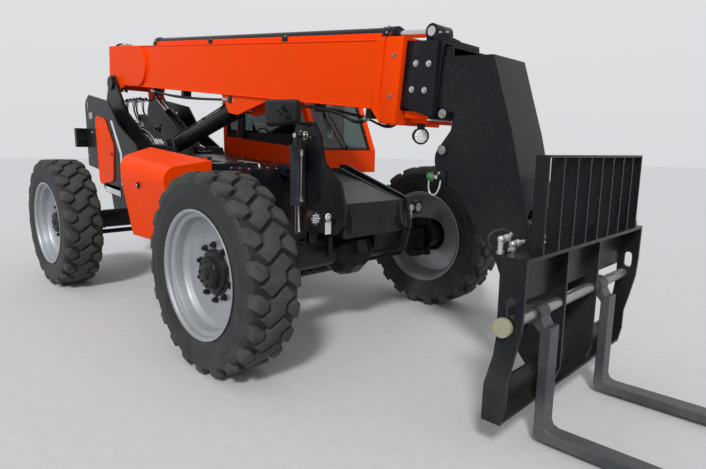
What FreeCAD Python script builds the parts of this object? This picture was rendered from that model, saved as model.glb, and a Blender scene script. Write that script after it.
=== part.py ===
import FreeCAD, Part
import math
import os
from FreeCAD import Vector

# Telehandler with a three-section boom, a pallet fork carriage and a cab on its left side.
# Millimetres. +X forward, +Y to the left, +Z up. Every X below is measured from the front axle;
# write_node() then moves each piece forward so that the origin lies under the middle.

# Overall reach either side of the front axle
FORK_REACH = 3080.0
WHEELBASE = 3000.0
TAIL_OVERHANG = 1050.0
LAMP_REACH = 70.0
TAIL_REAR = -WHEELBASE - TAIL_OVERHANG
TAIL_REACH = LAMP_REACH - TAIL_REAR
FRONT_AXLE_X = (TAIL_REACH - FORK_REACH) / 2

# Wheels
WHEEL_R = 640.0
TYRE_W = 345.0
TRACK = 2270.0
LUG_PITCHES = 18
TYRE_SIDES = LUG_PITCHES * 2
RIM_SIDES = TYRE_SIDES // 2
LUG_DEPTH = 32.0
RIM_R = 392.0
RIM_WALL = 14.0
RIM_W = 326.0
DISC_OFFSET = 12.0
HUB_R = 150.0
HUB_OUT = 85.0
STUD_CIRCLE_R = 200.0

# Axles and steering
AXLE_TUBE_R = 95.0
DIFF_R = 190.0
KINGPIN_Y = 905.0
KINGPIN_R = 26.0
KNUCKLE_H = 340.0
AXLE_HEAD = 94.0
TIE_LOW = 146.0
STEER_BODY_R = 38.0
RUN_GAP = 0.3
STEER_ARM = 210.0
STEER_ROD_R = 24.0

# Frame, and the plates that it is cut from
SMALL_ROUND = 66.0
RAIL_IN = 250.0
RAIL_T = 30.0
FRAME_LOW = 560.0
AXLE_ARCH = 790.0
DECK_HALF = 330.0
DECK_TOP = 1045.0
FRONT_FACE = 320.0
TAIL_HALF = 500.0
TAIL_PLATE_T = 20.0
WEIGHT_CLEAR = 450.0
STEP_CLEAR = 460.0
STEP_L = 510.0

# Boom: the lift pivot, and sections that slide inside each other
PIVOT_X = TAIL_REAR + 290.0
PIVOT_Z = 2165.0
BOOM_SLOPE = 6.3
PIVOT_DROP = 211.0
OUTER_W = 430.0
OUTER_H = 440.0
WALL = 9.0
SECTION_GAP = 12.0
OUTER_BACK = -190.0
OUTER_FRONT = 715.0 - PIVOT_X
COLLAR_L = 222.0
COLLAR_OUT = 26.0
COLLAR_TOP = 12.0
COLLAR_DROP = 87.0
COLLAR_BAND = 62.0
GROOVE_W = 25.0
MIDDLE_FRONT = 985.0 - PIVOT_X
ROLLER_R = 48.0
STROKE = 3100.0
SECTION_HOLD = 980.0
LIFT_MAX = 70.0
PIVOT_PIN_R = 67.0
BOSS_R = 212.0
BOSS_X = PIVOT_X + 640.0
BOSS_Z = 2307.0

# Gooseneck at the end of the fly section, and the carriage pivot at its foot
NECK_HALF = 180.0
NECK_PLATE_T = 22.0
TIP_X = 1600.0
TIP_Z = 500.0
TIP_R = 88.0
TILT_DUMP = 82.0

# Cylinder pins, X and Z
LIFT_BASE = (PIVOT_X + 810.0, 1320.0)
LIFT_EYE = (PIVOT_X + 2510.0, 1800.0)
LIFT_Y = -94.0
LIFT_R = 84.0
LIFT_ROD_R = 46.0
LIFT_BARREL = 1640.0
LEVEL_BASE = (PIVOT_X + 1410.0, 1330.0)
LEVEL_EYE = (PIVOT_X + 340.0, 2030.0)
LEVEL_Y = 110.0
LEVEL_R = 48.0
LEVEL_ROD_R = 24.0
LEVEL_BARREL = 900.0
TILT_BASE = (1035.0, 1425.0)
TILT_EYE = (1660.0, 870.0)
TILT_R = 52.0
TILT_ROD_R = 30.0
TILT_BARREL = 690.0
EXTEND_R = 46.0
EXTEND_ROD_R = 26.0
ROD_GAP = 1.0
PIN_SIDE_GAP = 6.0

# Carriage, forks and load backrest
CARRIAGE_HALF = 785.0
SIDE_PLATE_T = 20.0
SHELF_Z = 950.0
FORK_FACE_X = 1850.0
CARRIAGE_BACK = FORK_FACE_X - 84
SHELF_FRONT = FORK_FACE_X + 40
BAR_X = FORK_FACE_X - 47
BAR_Z = 652.0
BAR_R = 30.0
FORK_Y = 393.0
FORK_SHIFT = -73.0
FORK_W = 100.0
FORK_T = 50.0
FORK_LOW = 25.0
BACKREST_TOP = 1410.0
BACKREST_HALF = 640.0
BACKREST_BARS = 9
BACKREST_DEPTH = 62.0

# Cab
CAB_IN = 400.0
CAB_OUT = 1205.0
CAB_FRONT = -800.0
CAB_REAR = -2390.0
CAB_TUB_REAR = -2215.0
CAB_LOW = 1190.0
CAB_STEP_Z = 1330.0
CAB_ROOF = 2420.0
CAB_WALL = 45.0
SILL_FRONT = 1410.0
SILL_REAR = 1545.0
CAB_RAKE = 0.42
PILLAR_W = 68.0
PILLAR_T = 60.0
RAIL_LOW = 2290.0
ROOF_LOW = 2375.0
GLASS_T = 6.0
DOOR_REAR = -2150.0
DOOR_FRONT = -1330.0
DOOR_GAP = 8.0
DOOR_LOW = 1258.0
DOOR_TOP = 2332.0
HINGE_X = DOOR_REAR - 4
HINGE_Y = CAB_OUT + 16
DOOR_HINGES = (1560.0, 2080.0)
HINGE_PIN_R = 8.0
HINGE_PIN_GAP = 0.8

# Engine hood on the right side
HOOD_FRONT = -790.0
HOOD_REAR = -1860.0
HOOD_SKEW = 300.0
HOOD_IN = 700.0
HOOD_OUT = 1100.0
HOOD_LOW = 660.0
HOOD_TOP = 1320.0
HOOD_RISE = 95.0
HOOD_FALL = 40.0
HOOD_ROUND = 110.0
HOOD_T = 12.0
HOOD_HINGE_Y = -650.0
HOOD_HINGE_Z = 1330.0
HOOD_ARMS = (-1560.0, -930.0)


def box(x0, x1, y0, y1, z0, z1):
    corner = Vector(min(x0, x1), min(y0, y1), min(z0, z1))
    return Part.makeBox(abs(x1 - x0), abs(y1 - y0), abs(z1 - z0), corner)


def rod(start, end, radius):
    """A round bar between two points."""
    along = Vector(*end) - Vector(*start)
    return Part.makeCylinder(radius, along.Length, Vector(*start), along)


def drum(start, end, radius, sides=16):
    """A round bar or housing as a prism, for what turns on nothing."""
    along = Vector(*end) - Vector(*start)
    reach = radius / math.cos(math.pi / sides)
    corners = [Vector(reach * math.cos(2 * math.pi * (i + 0.5) / sides),
                      reach * math.sin(2 * math.pi * (i + 0.5) / sides), 0) for i in range(sides)]
    shape = Part.Face(Part.makePolygon(corners + corners[:1])).extrude(Vector(0, 0, along.Length))
    shape.Placement = FreeCAD.Placement(Vector(*start), FreeCAD.Rotation(Vector(0, 0, 1), along))
    return shape


def outline(points):
    """A closed wire in the XZ plane. A point is (x, z) or (x, z, corner radius).

    A corner of SMALL_ROUND or less is cut in two chords, which keeps the plates' facets few.
    """
    spots = [Vector(p[0], 0, p[1]) for p in points]
    radii = [p[2] if len(p) > 2 else 0 for p in points]
    count = len(spots)
    edges = []
    last = None
    first = None
    for i in range(count):
        here = spots[i]
        back = spots[i - 1] - here
        ahead = spots[(i + 1) % count] - here
        if radii[i] == 0:
            enter = leave = here
        else:
            turn = back.getAngle(ahead)
            reach = radii[i] / math.tan(turn / 2)
            enter = here + back.normalize() * reach
            leave = here + ahead.normalize() * reach
            middle = here + (back + ahead).normalize() * (radii[i] / math.sin(turn / 2) - radii[i])
        if last is not None and (enter - last).Length > 1e-6:
            edges.append(Part.LineSegment(last, enter).toShape())
        if first is None:
            first = enter
        if radii[i] > SMALL_ROUND:
            edges.append(Part.Arc(enter, middle, leave).toShape())
        elif radii[i]:
            edges += [Part.LineSegment(enter, middle).toShape(), Part.LineSegment(middle, leave).toShape()]
        last = leave
    if (first - last).Length > 1e-6:
        edges.append(Part.LineSegment(last, first).toShape())
    return Part.Wire(Part.__sortEdges__(edges))


def plate(points, y0, y1):
    """A flat plate that stands fore and aft: its XZ outline, and its two Y faces."""
    face = Part.Face(outline(points))
    face.translate(Vector(0, min(y0, y1), 0))
    return face.extrude(Vector(0, abs(y1 - y0), 0))


def plan_plate(points, z0, z1):
    """A flat plate that lies level: its XY outline, and its two Z faces."""
    face = Part.Face(Part.makePolygon([Vector(x, y, z0) for x, y in points + points[:1]]))
    return face.extrude(Vector(0, 0, z1 - z0))


def cross_plate(points, x0, x1):
    """A flat plate that stands across the machine: its YZ outline, and its two X faces."""
    face = Part.Face(Part.makePolygon([Vector(x0, y, z) for y, z in points + points[:1]]))
    return face.extrude(Vector(x1 - x0, 0, 0))


def mirrored(shape):
    return shape.mirror(Vector(0, 0, 0), Vector(0, 1, 0))


def both_sides(shape):
    return [shape, mirrored(shape)]


def joined(shapes):
    return shapes[0].multiFuse(shapes[1:]).removeSplitter() if len(shapes) > 1 else shapes[0]


def cut_all(shape, tools):
    return shape.cut(Part.makeCompound(tools))


def solid_of(faces):
    shell = Part.Shell(faces)
    shell.sewShape()
    solid = Part.Solid(shell)
    if solid.Volume < 0:
        solid.reverse()
    return solid


def faceted_ring(profile, sides):
    """A wheel-like ring about the Y axis: a closed (radius, y) profile swept in flat facets."""
    stretch = 1 / math.cos(math.pi / sides)
    faces = []
    for i in range(sides):
        a = 2 * math.pi * i / sides
        b = 2 * math.pi * (i + 1) / sides
        for j in range(len(profile)):
            r0, y0 = profile[j - 1]
            r1, y1 = profile[j]
            corners = [(r0, y0, a), (r1, y1, a), (r1, y1, b), (r0, y0, b)]
            ring = [Vector(r * stretch * math.cos(t), y, r * stretch * math.sin(t)) for r, y, t in corners]
            faces.append(Part.Face(Part.makePolygon(ring + ring[:1])))
    return solid_of(faces)


def wheel_place(shape, x, side):
    """Moves a wheel piece, drawn about the origin with +Y outboard, to its axle end."""
    if side < 0:
        shape = mirrored(shape)
    shape = shape.copy()
    shape.translate(Vector(x, side * TRACK / 2, WHEEL_R))
    return shape


def tyre():
    """Tyre with a raised centre rib and staggered side lugs, built of flat facets about the Y axis."""
    half = TYRE_W / 2
    stretch = 1 / math.cos(math.pi / TYRE_SIDES)
    deep = WHEEL_R - LUG_DEPTH
    seat = (RIM_R, 0.80 * half)
    bulge = (RIM_R + 115, half)
    shoulder = (WHEEL_R - 62, 0.985 * half)
    top = (WHEEL_R, 0.80 * half)
    floor = (deep, 0.86 * half)
    rib = 0.30 * half
    faces = []

    def facet(*spots):
        ring = []
        for (r, y), step in spots:
            a = 2 * math.pi * step / TYRE_SIDES
            ring.append(Vector(r * stretch * math.cos(a), y, r * stretch * math.sin(a)))
        faces.append(Part.Face(Part.makePolygon(ring + ring[:1])))

    def band(a, b, step):
        facet((a, step), (b, step), (b, step + 1), (a, step + 1))

    def lug(step, sign):
        return (step + (sign > 0)) % 2 == 0

    for step in range(TYRE_SIDES):
        band((RIM_R, -seat[1]), seat, step)
        band((WHEEL_R, -rib), (WHEEL_R, rib), step)
        for sign in (-1, 1):
            foot, wide, edge, crest, groove = [(r, sign * y) for r, y in (seat, bulge, shoulder, top, floor)]
            band(foot, wide, step)
            band(wide, edge, step)
            if lug(step, sign):
                band(edge, crest, step)
                band(crest, (WHEEL_R, sign * rib), step)
            else:
                band(edge, groove, step)
                band(groove, (deep, sign * rib), step)
                band((deep, sign * rib), (WHEEL_R, sign * rib), step)
            if lug(step, sign) != lug(step - 1, sign):
                end_wall = [(deep, sign * rib), (WHEEL_R, sign * rib), crest, edge, groove]
                facet(*[(corner, step) for corner in end_wall])
    return solid_of(faces)


def rim():
    """Deep-dish rim; its seat corners meet every second corner of the tyre's inner facets."""
    half = RIM_W / 2
    seat = TYRE_W / 2 * 0.80
    fit = math.cos(math.pi / RIM_SIDES) / math.cos(math.pi / TYRE_SIDES)
    lip = RIM_R - RIM_WALL
    face = DISC_OFFSET + 10
    back = DISC_OFFSET - 10
    profile = [(RIM_R + 16, -half), (RIM_R * fit, -seat), (RIM_R * fit, seat), (RIM_R + 16, half), (lip, half),
               (lip - 48, face), (HUB_R - 10, face), (HUB_R - 10, back), (lip - 20, back)]
    dish = faceted_ring(profile, RIM_SIDES)
    hub = drum((0, back, 0), (0, HUB_OUT, 0), HUB_R, 12)
    flange = drum((0, face, 0), (0, face + 16, 0), STUD_CIRCLE_R + 22, 12)
    cap = rod((0, HUB_OUT, 0), (0, HUB_OUT + 14, 0), HUB_R * 0.2)
    return joined([dish, hub, flange, cap])


def knuckle():
    """The swivelling hub carrier, drawn about the wheel centre with +Y outboard."""
    pin_y = KINGPIN_Y - TRACK / 2
    half_h = KNUCKLE_H / 2
    inner = DISC_OFFSET - 10 - RUN_GAP
    carrier = drum((0, pin_y + 78, 0), (0, inner, 0), 118, 12)
    arms = []
    for up in (-1, 1):
        arms.append(plate([(-62, up * 112), (62, up * 112), (62, up * (half_h - 26)), (36, up * half_h),
                           (-36, up * half_h), (-62, up * (half_h - 26))], pin_y - 62, pin_y + 130))
    back = box(-70, 70, pin_y + 78, pin_y + 130, -half_h, half_h)
    pins = [drum((0, pin_y, up * (AXLE_HEAD + RUN_GAP)), (0, pin_y, up * (half_h + 8)), KINGPIN_R, 12)
            for up in (-1, 1)]
    pins.append(rod((0, pin_y, half_h), (0, pin_y, half_h + 14), KINGPIN_R * 0.5))
    tie = plan_plate([(-40, pin_y + 120), (-STEER_ARM - 30, pin_y + 34), (-STEER_ARM - 30, pin_y - 30),
                      (-STEER_ARM + 30, pin_y - 30), (40, pin_y + 90)], -TIE_LOW, -TIE_LOW + 26)
    return joined([carrier, back] + arms + pins + [tie])


def steer_rod_height():
    return WHEEL_R - TIE_LOW - STEER_ROD_R - 5


def axle():
    """Drive axle with a round differential housing; its yokes hold the kingpins."""
    yoke_y = KINGPIN_Y - 70
    tube = drum((0, -yoke_y, WHEEL_R), (0, yoke_y, WHEEL_R), AXLE_TUBE_R)
    bowl = faceted_ring([(30, -175), (AXLE_TUBE_R, -175), (DIFF_R * 0.84, -120), (DIFF_R, -50), (DIFF_R, 50),
                         (DIFF_R * 0.84, 120), (AXLE_TUBE_R, 175), (30, 175)], 12)
    bowl.translate(Vector(0, 0, WHEEL_R))
    nose = drum((0, 0, WHEEL_R), (-DIFF_R - 70, 0, WHEEL_R), 78, 12)
    ends = []
    for side in (-1, 1):
        low = WHEEL_R - AXLE_HEAD
        high = WHEEL_R + AXLE_HEAD
        head = drum((0, side * KINGPIN_Y, low), (0, side * KINGPIN_Y, high), 70, 12)
        neck = box(-70, 70, side * (KINGPIN_Y - 150), side * KINGPIN_Y, low, high)
        ends += [head, neck]
    pads = [box(-110, 110, side * RAIL_IN - 35, side * (RAIL_IN + RAIL_T) + 35,
                WHEEL_R, AXLE_ARCH) for side in (-1, 1)]
    x, z = -STEER_ARM, steer_rod_height()
    steer_body = drum((x, -300, z), (x, 300, z), STEER_BODY_R, 12)
    hangers = both_sides(plate([(x - 26, z - 20), (x + 26, z - 20), (-50, 570), (-50, 640), (-100, 640),
                                (x - 26, z + 30)], 200, 216))
    body = joined([tube, bowl, nose, steer_body] + hangers + ends + pads)
    return body.cut(drum((x, -301, z), (x, 301, z), STEER_ROD_R + ROD_GAP, 12))


def rail_outline():
    return [(FRONT_FACE, DECK_TOP), (FRONT_FACE + 35, 860), (290, AXLE_ARCH), (-240, AXLE_ARCH),
            (-440, FRAME_LOW), (-WHEELBASE + 440, FRAME_LOW), (-WHEELBASE + 240, AXLE_ARCH),
            (-WHEELBASE - 260, AXLE_ARCH), (-WHEELBASE - 400, FRAME_LOW + 60),
            (TAIL_REAR + 140, FRAME_LOW + 60), (TAIL_REAR + 60, 900),
            (TAIL_REAR + 60, 1880), (PIVOT_X - 95, PIVOT_Z), (PIVOT_X - 60, PIVOT_Z + 90, 55),
            (PIVOT_X + 60, PIVOT_Z + 90, 55), (PIVOT_X + 110, PIVOT_Z), (PIVOT_X + 360, 1830, 120),
            (PIVOT_X + 960, 1440, 120), (-WHEELBASE + 780, 1420), (-WHEELBASE + 920, 1080),
            (-760, 1080, 120), (-420, 1262), (-330, 1262)]


def main_frame():
    """Two rails side by side, tied by cross tubes, with the front box and the boom pivot ears."""
    outer = RAIL_IN + RAIL_T
    rails = both_sides(plate(rail_outline(), RAIL_IN, outer))
    ties = [drum((x, -RAIL_IN, z), (x, RAIL_IN, z), r) for x, z, r in
            ((-700, 760, 70), (-WHEELBASE + 850, 760, 70), (TAIL_REAR + 670, 900, 80))]
    belly = box(-WHEELBASE + 700, -600, -RAIL_IN, RAIL_IN, FRAME_LOW, FRAME_LOW + 12)
    front = box(FRONT_FACE - 20, FRONT_FACE, -DECK_HALF, DECK_HALF, 800, DECK_TOP)
    deck = plate([(-420, 1230), (-60, 1150), (FRONT_FACE, DECK_TOP - 14), (FRONT_FACE, DECK_TOP),
                  (-60, 1164), (-420, 1244)], -DECK_HALF, DECK_HALF)
    tower = plate([(-190, 1135), (-190, 1570), (-150, 1612), (15, 1612, 35), (85, 1520, 90),
                   (125, 1330, 120), (300, 1180, 60), (340, 1020), (340, 900), (240, 820), (-120, 820)],
                  -DECK_HALF - 24, -DECK_HALF)
    ear = plate([(-420, 1235), (-420, 1290), (-340, 1290), (FRONT_FACE + 10, 1060, 40),
                 (FRONT_FACE + 60, 860, 40), (FRONT_FACE + 5, 650), (FRONT_FACE - 60, 650),
                 (FRONT_FACE - 60, 1000)], DECK_HALF, DECK_HALF + 24)
    eye = plate([(FRONT_FACE - 28, 960, 22), (FRONT_FACE + 22, 960, 22), (FRONT_FACE + 30, 790, 22),
                 (FRONT_FACE - 20, 790, 22)], DECK_HALF - 10, DECK_HALF + 40)
    base_lugs = [plate([(LIFT_BASE[0] - 90, 1080), (LIFT_BASE[0] - 90, LIFT_BASE[1] + 80, 80),
                        (LIFT_BASE[0] + 90, LIFT_BASE[1] + 80, 80), (LIFT_BASE[0] + 90, 1080)],
                       LIFT_Y + side * (LIFT_R + PIN_SIDE_GAP), LIFT_Y + side * (LIFT_R + PIN_SIDE_GAP + 22))
                 for side in (-1, 1)]
    shelf = box(LIFT_BASE[0] - 130, LEVEL_BASE[0] + 130, -RAIL_IN, RAIL_IN, 1056, 1080)
    level_lugs = [plate([(LEVEL_BASE[0] - 70, 1080), (LEVEL_BASE[0] - 70, LEVEL_BASE[1] + 60, 60),
                         (LEVEL_BASE[0] + 70, LEVEL_BASE[1] + 60, 60), (LEVEL_BASE[0] + 70, 1080)],
                        LEVEL_Y + side * (LEVEL_R + PIN_SIDE_GAP), LEVEL_Y + side * (LEVEL_R + PIN_SIDE_GAP + 18))
                  for side in (-1, 1)]
    bosses = []
    for side in (-1, 1):
        bosses.append(drum((PIVOT_X, side * outer, PIVOT_Z), (PIVOT_X, side * (outer + 22), PIVOT_Z), 75, 20))
    frame = joined(rails + ties + [belly, front, deck, tower, shelf] + base_lugs + level_lugs + bosses)
    mounts = []
    for x in (-1000, -2100):
        mounts.append(box(x, x + 100, outer, CAB_OUT - 160, 1056, 1096))
        mounts += [drum((x + 50, y, 1096), (x + 50, y, CAB_LOW), 44, 8) for y in (CAB_IN + 90, CAB_OUT - 210)]
    return joined([frame, ear.cut(eye)] + mounts)


def tail_outline():
    """Side plate of the tail: it falls in steps ahead of the boom pivot, then runs over the axle."""
    return [(TAIL_REAR, 1900), (TAIL_REAR + 30, 1960), (TAIL_REAR + 130, 2020), (PIVOT_X + 420, 1920, 60),
            (PIVOT_X + 670, 1650, 120), (PIVOT_X + 1140, 1420, 60), (PIVOT_X + 1120, 960),
            (TAIL_REAR + 490, 900), (TAIL_REAR + 320, 1140), (TAIL_REAR, 1180)]


def tail_boxes():
    """Black steel side boxes that flank the boom pivot and hold the tanks."""
    inner = RAIL_IN + RAIL_T
    plates = []
    for side in (-1, 1):
        skin = plate(tail_outline(), side * (TAIL_HALF - TAIL_PLATE_T), side * TAIL_HALF)
        floor = box(TAIL_REAR + 330, PIVOT_X + 1100, side * inner, side * (TAIL_HALF - TAIL_PLATE_T), 1180, 1200)
        back = box(TAIL_REAR, TAIL_REAR + 16, side * inner, side * (TAIL_HALF - TAIL_PLATE_T), 1190, 1890)
        web = box(PIVOT_X + 930, PIVOT_X + 946, side * inner, side * (TAIL_HALF - TAIL_PLATE_T), 1180, 1480)
        rib = box(TAIL_REAR + 490, TAIL_REAR + 506, side * inner, side * (TAIL_HALF - TAIL_PLATE_T), 1180, 1800)
        plates.append(joined([skin, floor, back, web, rib]))
    return Part.makeCompound(plates)


def tail_doors():
    """Orange service doors, one on each tail box."""
    points = [(PIVOT_X + 40, 1775, 60), (PIVOT_X + 330, 1725, 90), (PIVOT_X + 545, 1410, 90),
              (PIVOT_X + 495, 1020, 50), (PIVOT_X + 80, 965, 50)]
    door = plate(points, TAIL_HALF, TAIL_HALF + 14)
    return Part.makeCompound(both_sides(door))


def counterweight():
    """Cast weight low between the tail boxes."""
    front = -WHEELBASE - DIFF_R - WEIGHT_CLEAR
    return plate([(TAIL_REAR + 20, 1180, 30), (TAIL_REAR + 40, 700, 60), (front, 700, 40), (front + 40, 1000),
                  (front, 1180)], -RAIL_IN, RAIL_IN)


def boom_frame(shape):
    """Turns a shape drawn level from the lift pivot to the boom's own slope."""
    shape = shape.copy()
    shape.rotate(Vector(0, 0, 0), Vector(0, 1, 0), BOOM_SLOPE)
    shape.translate(Vector(PIVOT_X, 0, PIVOT_Z))
    return shape


def section(back, front, width, height, wall):
    """A welded box tube, drawn level: X from the pivot, Z from the boom's centre line."""
    low = PIVOT_DROP - height / 2
    tube = box(back, front, -width / 2, width / 2, low, low + height)
    bore = box(back - 1, front + 1, -width / 2 + wall, width / 2 - wall, low + wall, low + height - wall)
    return tube.cut(bore)


def nested(level):
    """Outside width and height of boom section 0 (outer), 1 (middle) or 2 (fly)."""
    step = 2 * (WALL + SECTION_GAP)
    return OUTER_W - level * step, OUTER_H - level * step


def slide_pads(level, back):
    """Wear pads at the tail of a sliding section, above, below and at both sides."""
    width, height = nested(level)
    low = PIVOT_DROP - height / 2
    reach = SECTION_GAP - RUN_GAP
    pads = [box(back, back + 140, -70, 70, low + height, low + height + reach),
            box(back, back + 140, -70, 70, low - reach, low)]
    pads += both_sides(box(back, back + 140, width / 2, width / 2 + reach, PIVOT_DROP - 60, PIVOT_DROP + 60))
    return pads


def to_boom(x, z):
    """The level coordinates, from the pivot, of a point given as X and Z."""
    t = math.radians(BOOM_SLOPE)
    dx = x - PIVOT_X
    dz = z - PIVOT_Z
    return dx * math.cos(t) - dz * math.sin(t), dx * math.sin(t) + dz * math.cos(t)


def collar():
    """Flared guide casting round the mouth of the outer section, with a groove behind its front band."""
    width, height = nested(0)
    half = width / 2
    low = PIVOT_DROP - height / 2
    back = OUTER_FRONT - COLLAR_L
    flare = back + COLLAR_BAND + GROOVE_W
    side = plate([(back, low + height + COLLAR_TOP), (OUTER_FRONT, low + height + COLLAR_TOP),
                  (OUTER_FRONT, low - COLLAR_DROP), (flare, low - COLLAR_DROP), (back, low)],
                 half - 1, half + COLLAR_OUT)
    groove = box(back + COLLAR_BAND, flare, half + COLLAR_OUT / 2, half + COLLAR_OUT + 1, low, low + height + COLLAR_TOP + 1)
    sides = both_sides(side.cut(groove))
    top = box(back, OUTER_FRONT, -half, half, low + height - 1, low + height + COLLAR_TOP)
    foot = box(flare, OUTER_FRONT, -half, half, low - COLLAR_DROP, low - COLLAR_DROP + 30)
    front = box(OUTER_FRONT - 30, OUTER_FRONT, -half, half, low - COLLAR_DROP, low + 1)
    return sides + [top, foot, front]


def boom_outer():
    width, height = nested(0)
    tube = section(OUTER_BACK + 260, OUTER_FRONT, width, height, WALL)
    half = width / 2
    low = PIVOT_DROP - height / 2
    cheek = plate([(OUTER_BACK, low + 60), (OUTER_BACK, low + height), (OUTER_BACK + 900, low + height),
                   (OUTER_BACK + 900, low), (260, low), (90, low - 60, 40), (-90, low - 60, 60)],
                  half, half + 12)
    inner_cheek = plate([(OUTER_BACK, low + 60), (OUTER_BACK, low + height),
                         (OUTER_BACK + 270, low + height), (OUTER_BACK + 270, low), (90, low - 60, 40),
                         (-90, low - 60, 60)], half - WALL, half)
    rear = box(OUTER_BACK, OUTER_BACK + WALL, -half, half, low + 60, low + height)
    roof = box(OUTER_BACK, OUTER_BACK + 270, -half, half, low + height - WALL, low + height)
    boss_u, boss_w = to_boom(BOSS_X, BOSS_Z)
    discs = both_sides(drum((boss_u, half, boss_w), (boss_u, half + 26, boss_w), BOSS_R, 24))
    reach = RAIL_IN - RUN_GAP
    pin = [drum((0, -reach, 0), (0, reach - 8, 0), PIVOT_PIN_R),
           rod((0, reach - 8, 0), (0, reach, 0), PIVOT_PIN_R * 0.6)]
    lift_u, lift_w = to_boom(LIFT_EYE[0], LIFT_EYE[1])
    lugs = []
    for side in (-1, 1):
        y = LIFT_Y + side * (LIFT_R + PIN_SIDE_GAP)
        lugs.append(plate([(lift_u - 190, low), (lift_u - 60, lift_w - 75), (lift_u + 80, lift_w - 85, 60),
                           (lift_u + 560, low)], y, y + side * 20))
    lug_u, lug_w = to_boom(LEVEL_EYE[0], LEVEL_EYE[1])
    for side in (-1, 1):
        y = LEVEL_Y + side * (LEVEL_R + PIN_SIDE_GAP)
        lugs.append(plate([(lug_u - 80, low + 4), (lug_u - 45, lug_w - 55), (lug_u + 45, lug_w - 55),
                           (lug_u + 90, low + 4)], y, y + side * 16))
    shape = joined([tube, rear, roof] + both_sides(cheek) + both_sides(inner_cheek) + discs + pin + collar() + lugs)
    return boom_frame(shape)


def extend_line():
    """Level height of the extension cylinder's axis, and its two ends along the boom."""
    height = PIVOT_DROP + OUTER_H / 2 + COLLAR_TOP + EXTEND_R + 6
    return height, 720.0, OUTER_FRONT - 250


def extension_barrel():
    height, back, front = extend_line()
    cap = drum((back - 60, 0, height), (back, 0, height), EXTEND_R + 8)
    bore = drum((back, 0, height), (front + 1, 0, height), EXTEND_ROD_R + ROD_GAP)
    top = PIVOT_DROP + OUTER_H / 2
    saddle_rows = ((back - 50, 90), (front - 60, 60))
    barrel = drum((back, 0, height), (front, 0, height), EXTEND_R, 20)
    saddles = [box(u, u + length, -EXTEND_R, EXTEND_R, top, height) for u, length in saddle_rows]
    return boom_frame(joined([barrel, cap] + saddles).cut(bore))


def extension_rod():
    height, back, front = extend_line()
    head = OUTER_FRONT + ROLLER_R + 35
    shaft = drum((front - STROKE - 350, 0, height), (head, 0, height), EXTEND_ROD_R)
    roller = drum((head, -86, height), (head, 86, height), ROLLER_R)
    top = PIVOT_DROP + nested(1)[1] / 2 + 12
    foot = box(head - 45, head + 45, -70, 70, top, height - 20)
    return boom_frame(joined([shaft, roller, foot]))


def boom_middle():
    width, height = nested(1)
    back = OUTER_FRONT - STROKE - SECTION_HOLD
    tube = joined([section(back, MIDDLE_FRONT, width, height, WALL)] + slide_pads(1, back))
    low = PIVOT_DROP - height / 2
    half = width / 2
    pad = plate([(OUTER_FRONT + 60, low + height + 10), (MIDDLE_FRONT - 28, low + height + 10),
                 (MIDDLE_FRONT, low - 44), (OUTER_FRONT + 8, low + 16)], half, half + 16)
    top = box(OUTER_FRONT + 8, MIDDLE_FRONT, -half, half, low + height, low + height + 12)
    base = box(OUTER_FRONT + 60, MIDDLE_FRONT, -half, half, low - 12, low)
    return boom_frame(joined([tube, top, base] + both_sides(pad)))


def boom_fly():
    """Inner section and the gooseneck that carries the carriage low in front of the wheels."""
    width, height = nested(2)
    back = MIDDLE_FRONT - STROKE - SECTION_HOLD
    tube = joined([section(back, MIDDLE_FRONT + 60, width, height, WALL)] + slide_pads(2, back))
    tube = boom_frame(tube)
    side = [(980, 1975), (1325, 1950), (1395, 1732), (1465, 1517), (1529, 1266), (1590, 1000),
            (1640, 860), (TIP_X + TIP_R, TIP_Z + 60), (TIP_X + TIP_R, TIP_Z - TIP_R, TIP_R - 2),
            (TIP_X - TIP_R, TIP_Z - TIP_R, TIP_R - 2), (TIP_X - TIP_R, TIP_Z + 60), (1408, 798),
            (1165, 1121), (1082, 1225), (973, 1225, 50), (950, 1400, 90), (1062, 1540), (1085, 1640), (1000, 1660)]
    cheeks = both_sides(plate(side, NECK_HALF - NECK_PLATE_T, NECK_HALF))
    inside = NECK_HALF - NECK_PLATE_T
    front = plate([(1325, 1950), (1395, 1732), (1465, 1517), (1529, 1266), (1567, 1100), (1555, 1097),
                   (1517, 1262), (1453, 1514), (1383, 1728), (1313, 1938)], -inside, inside)
    top = plate([(1010, 1974), (1325, 1950), (1324, 1938), (1010, 1962)], -inside, inside)
    rear = plate([(1408, 798), (1165, 1121), (1082, 1225), (1092, 1235), (1175, 1131), (1418, 808)],
                 -inside, inside)
    cross = drum((TIP_X, -inside, TIP_Z), (TIP_X, inside, TIP_Z), 52)
    tilt_lugs = []
    for sign in (-1, 1):
        y = sign * (TILT_R + PIN_SIDE_GAP)
        tilt_lugs.append(box(TILT_BASE[0] - 60, TILT_BASE[0] + 40, y, y + sign * 40,
                             TILT_BASE[1] - 60, TILT_BASE[1] + 60))
        tilt_lugs.append(drum((TILT_BASE[0], y, TILT_BASE[1]), (TILT_BASE[0], sign * inside, TILT_BASE[1]), 30, 12))
    pins = []
    for sign in (-1, 1):
        for x, z in ((1008, 1640), (TILT_BASE[0] - 20, TILT_BASE[1])):
            pins.append(drum((x, sign * NECK_HALF, z), (x, sign * (NECK_HALF + 14), z), 33))
    return joined([tube, front, top, rear, cross] + cheeks + tilt_lugs + pins)


def cylinder_line(base, eye):
    dx = eye[0] - base[0]
    dz = eye[1] - base[1]
    length = math.hypot(dx, dz)
    return dx / length, dz / length, length


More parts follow.
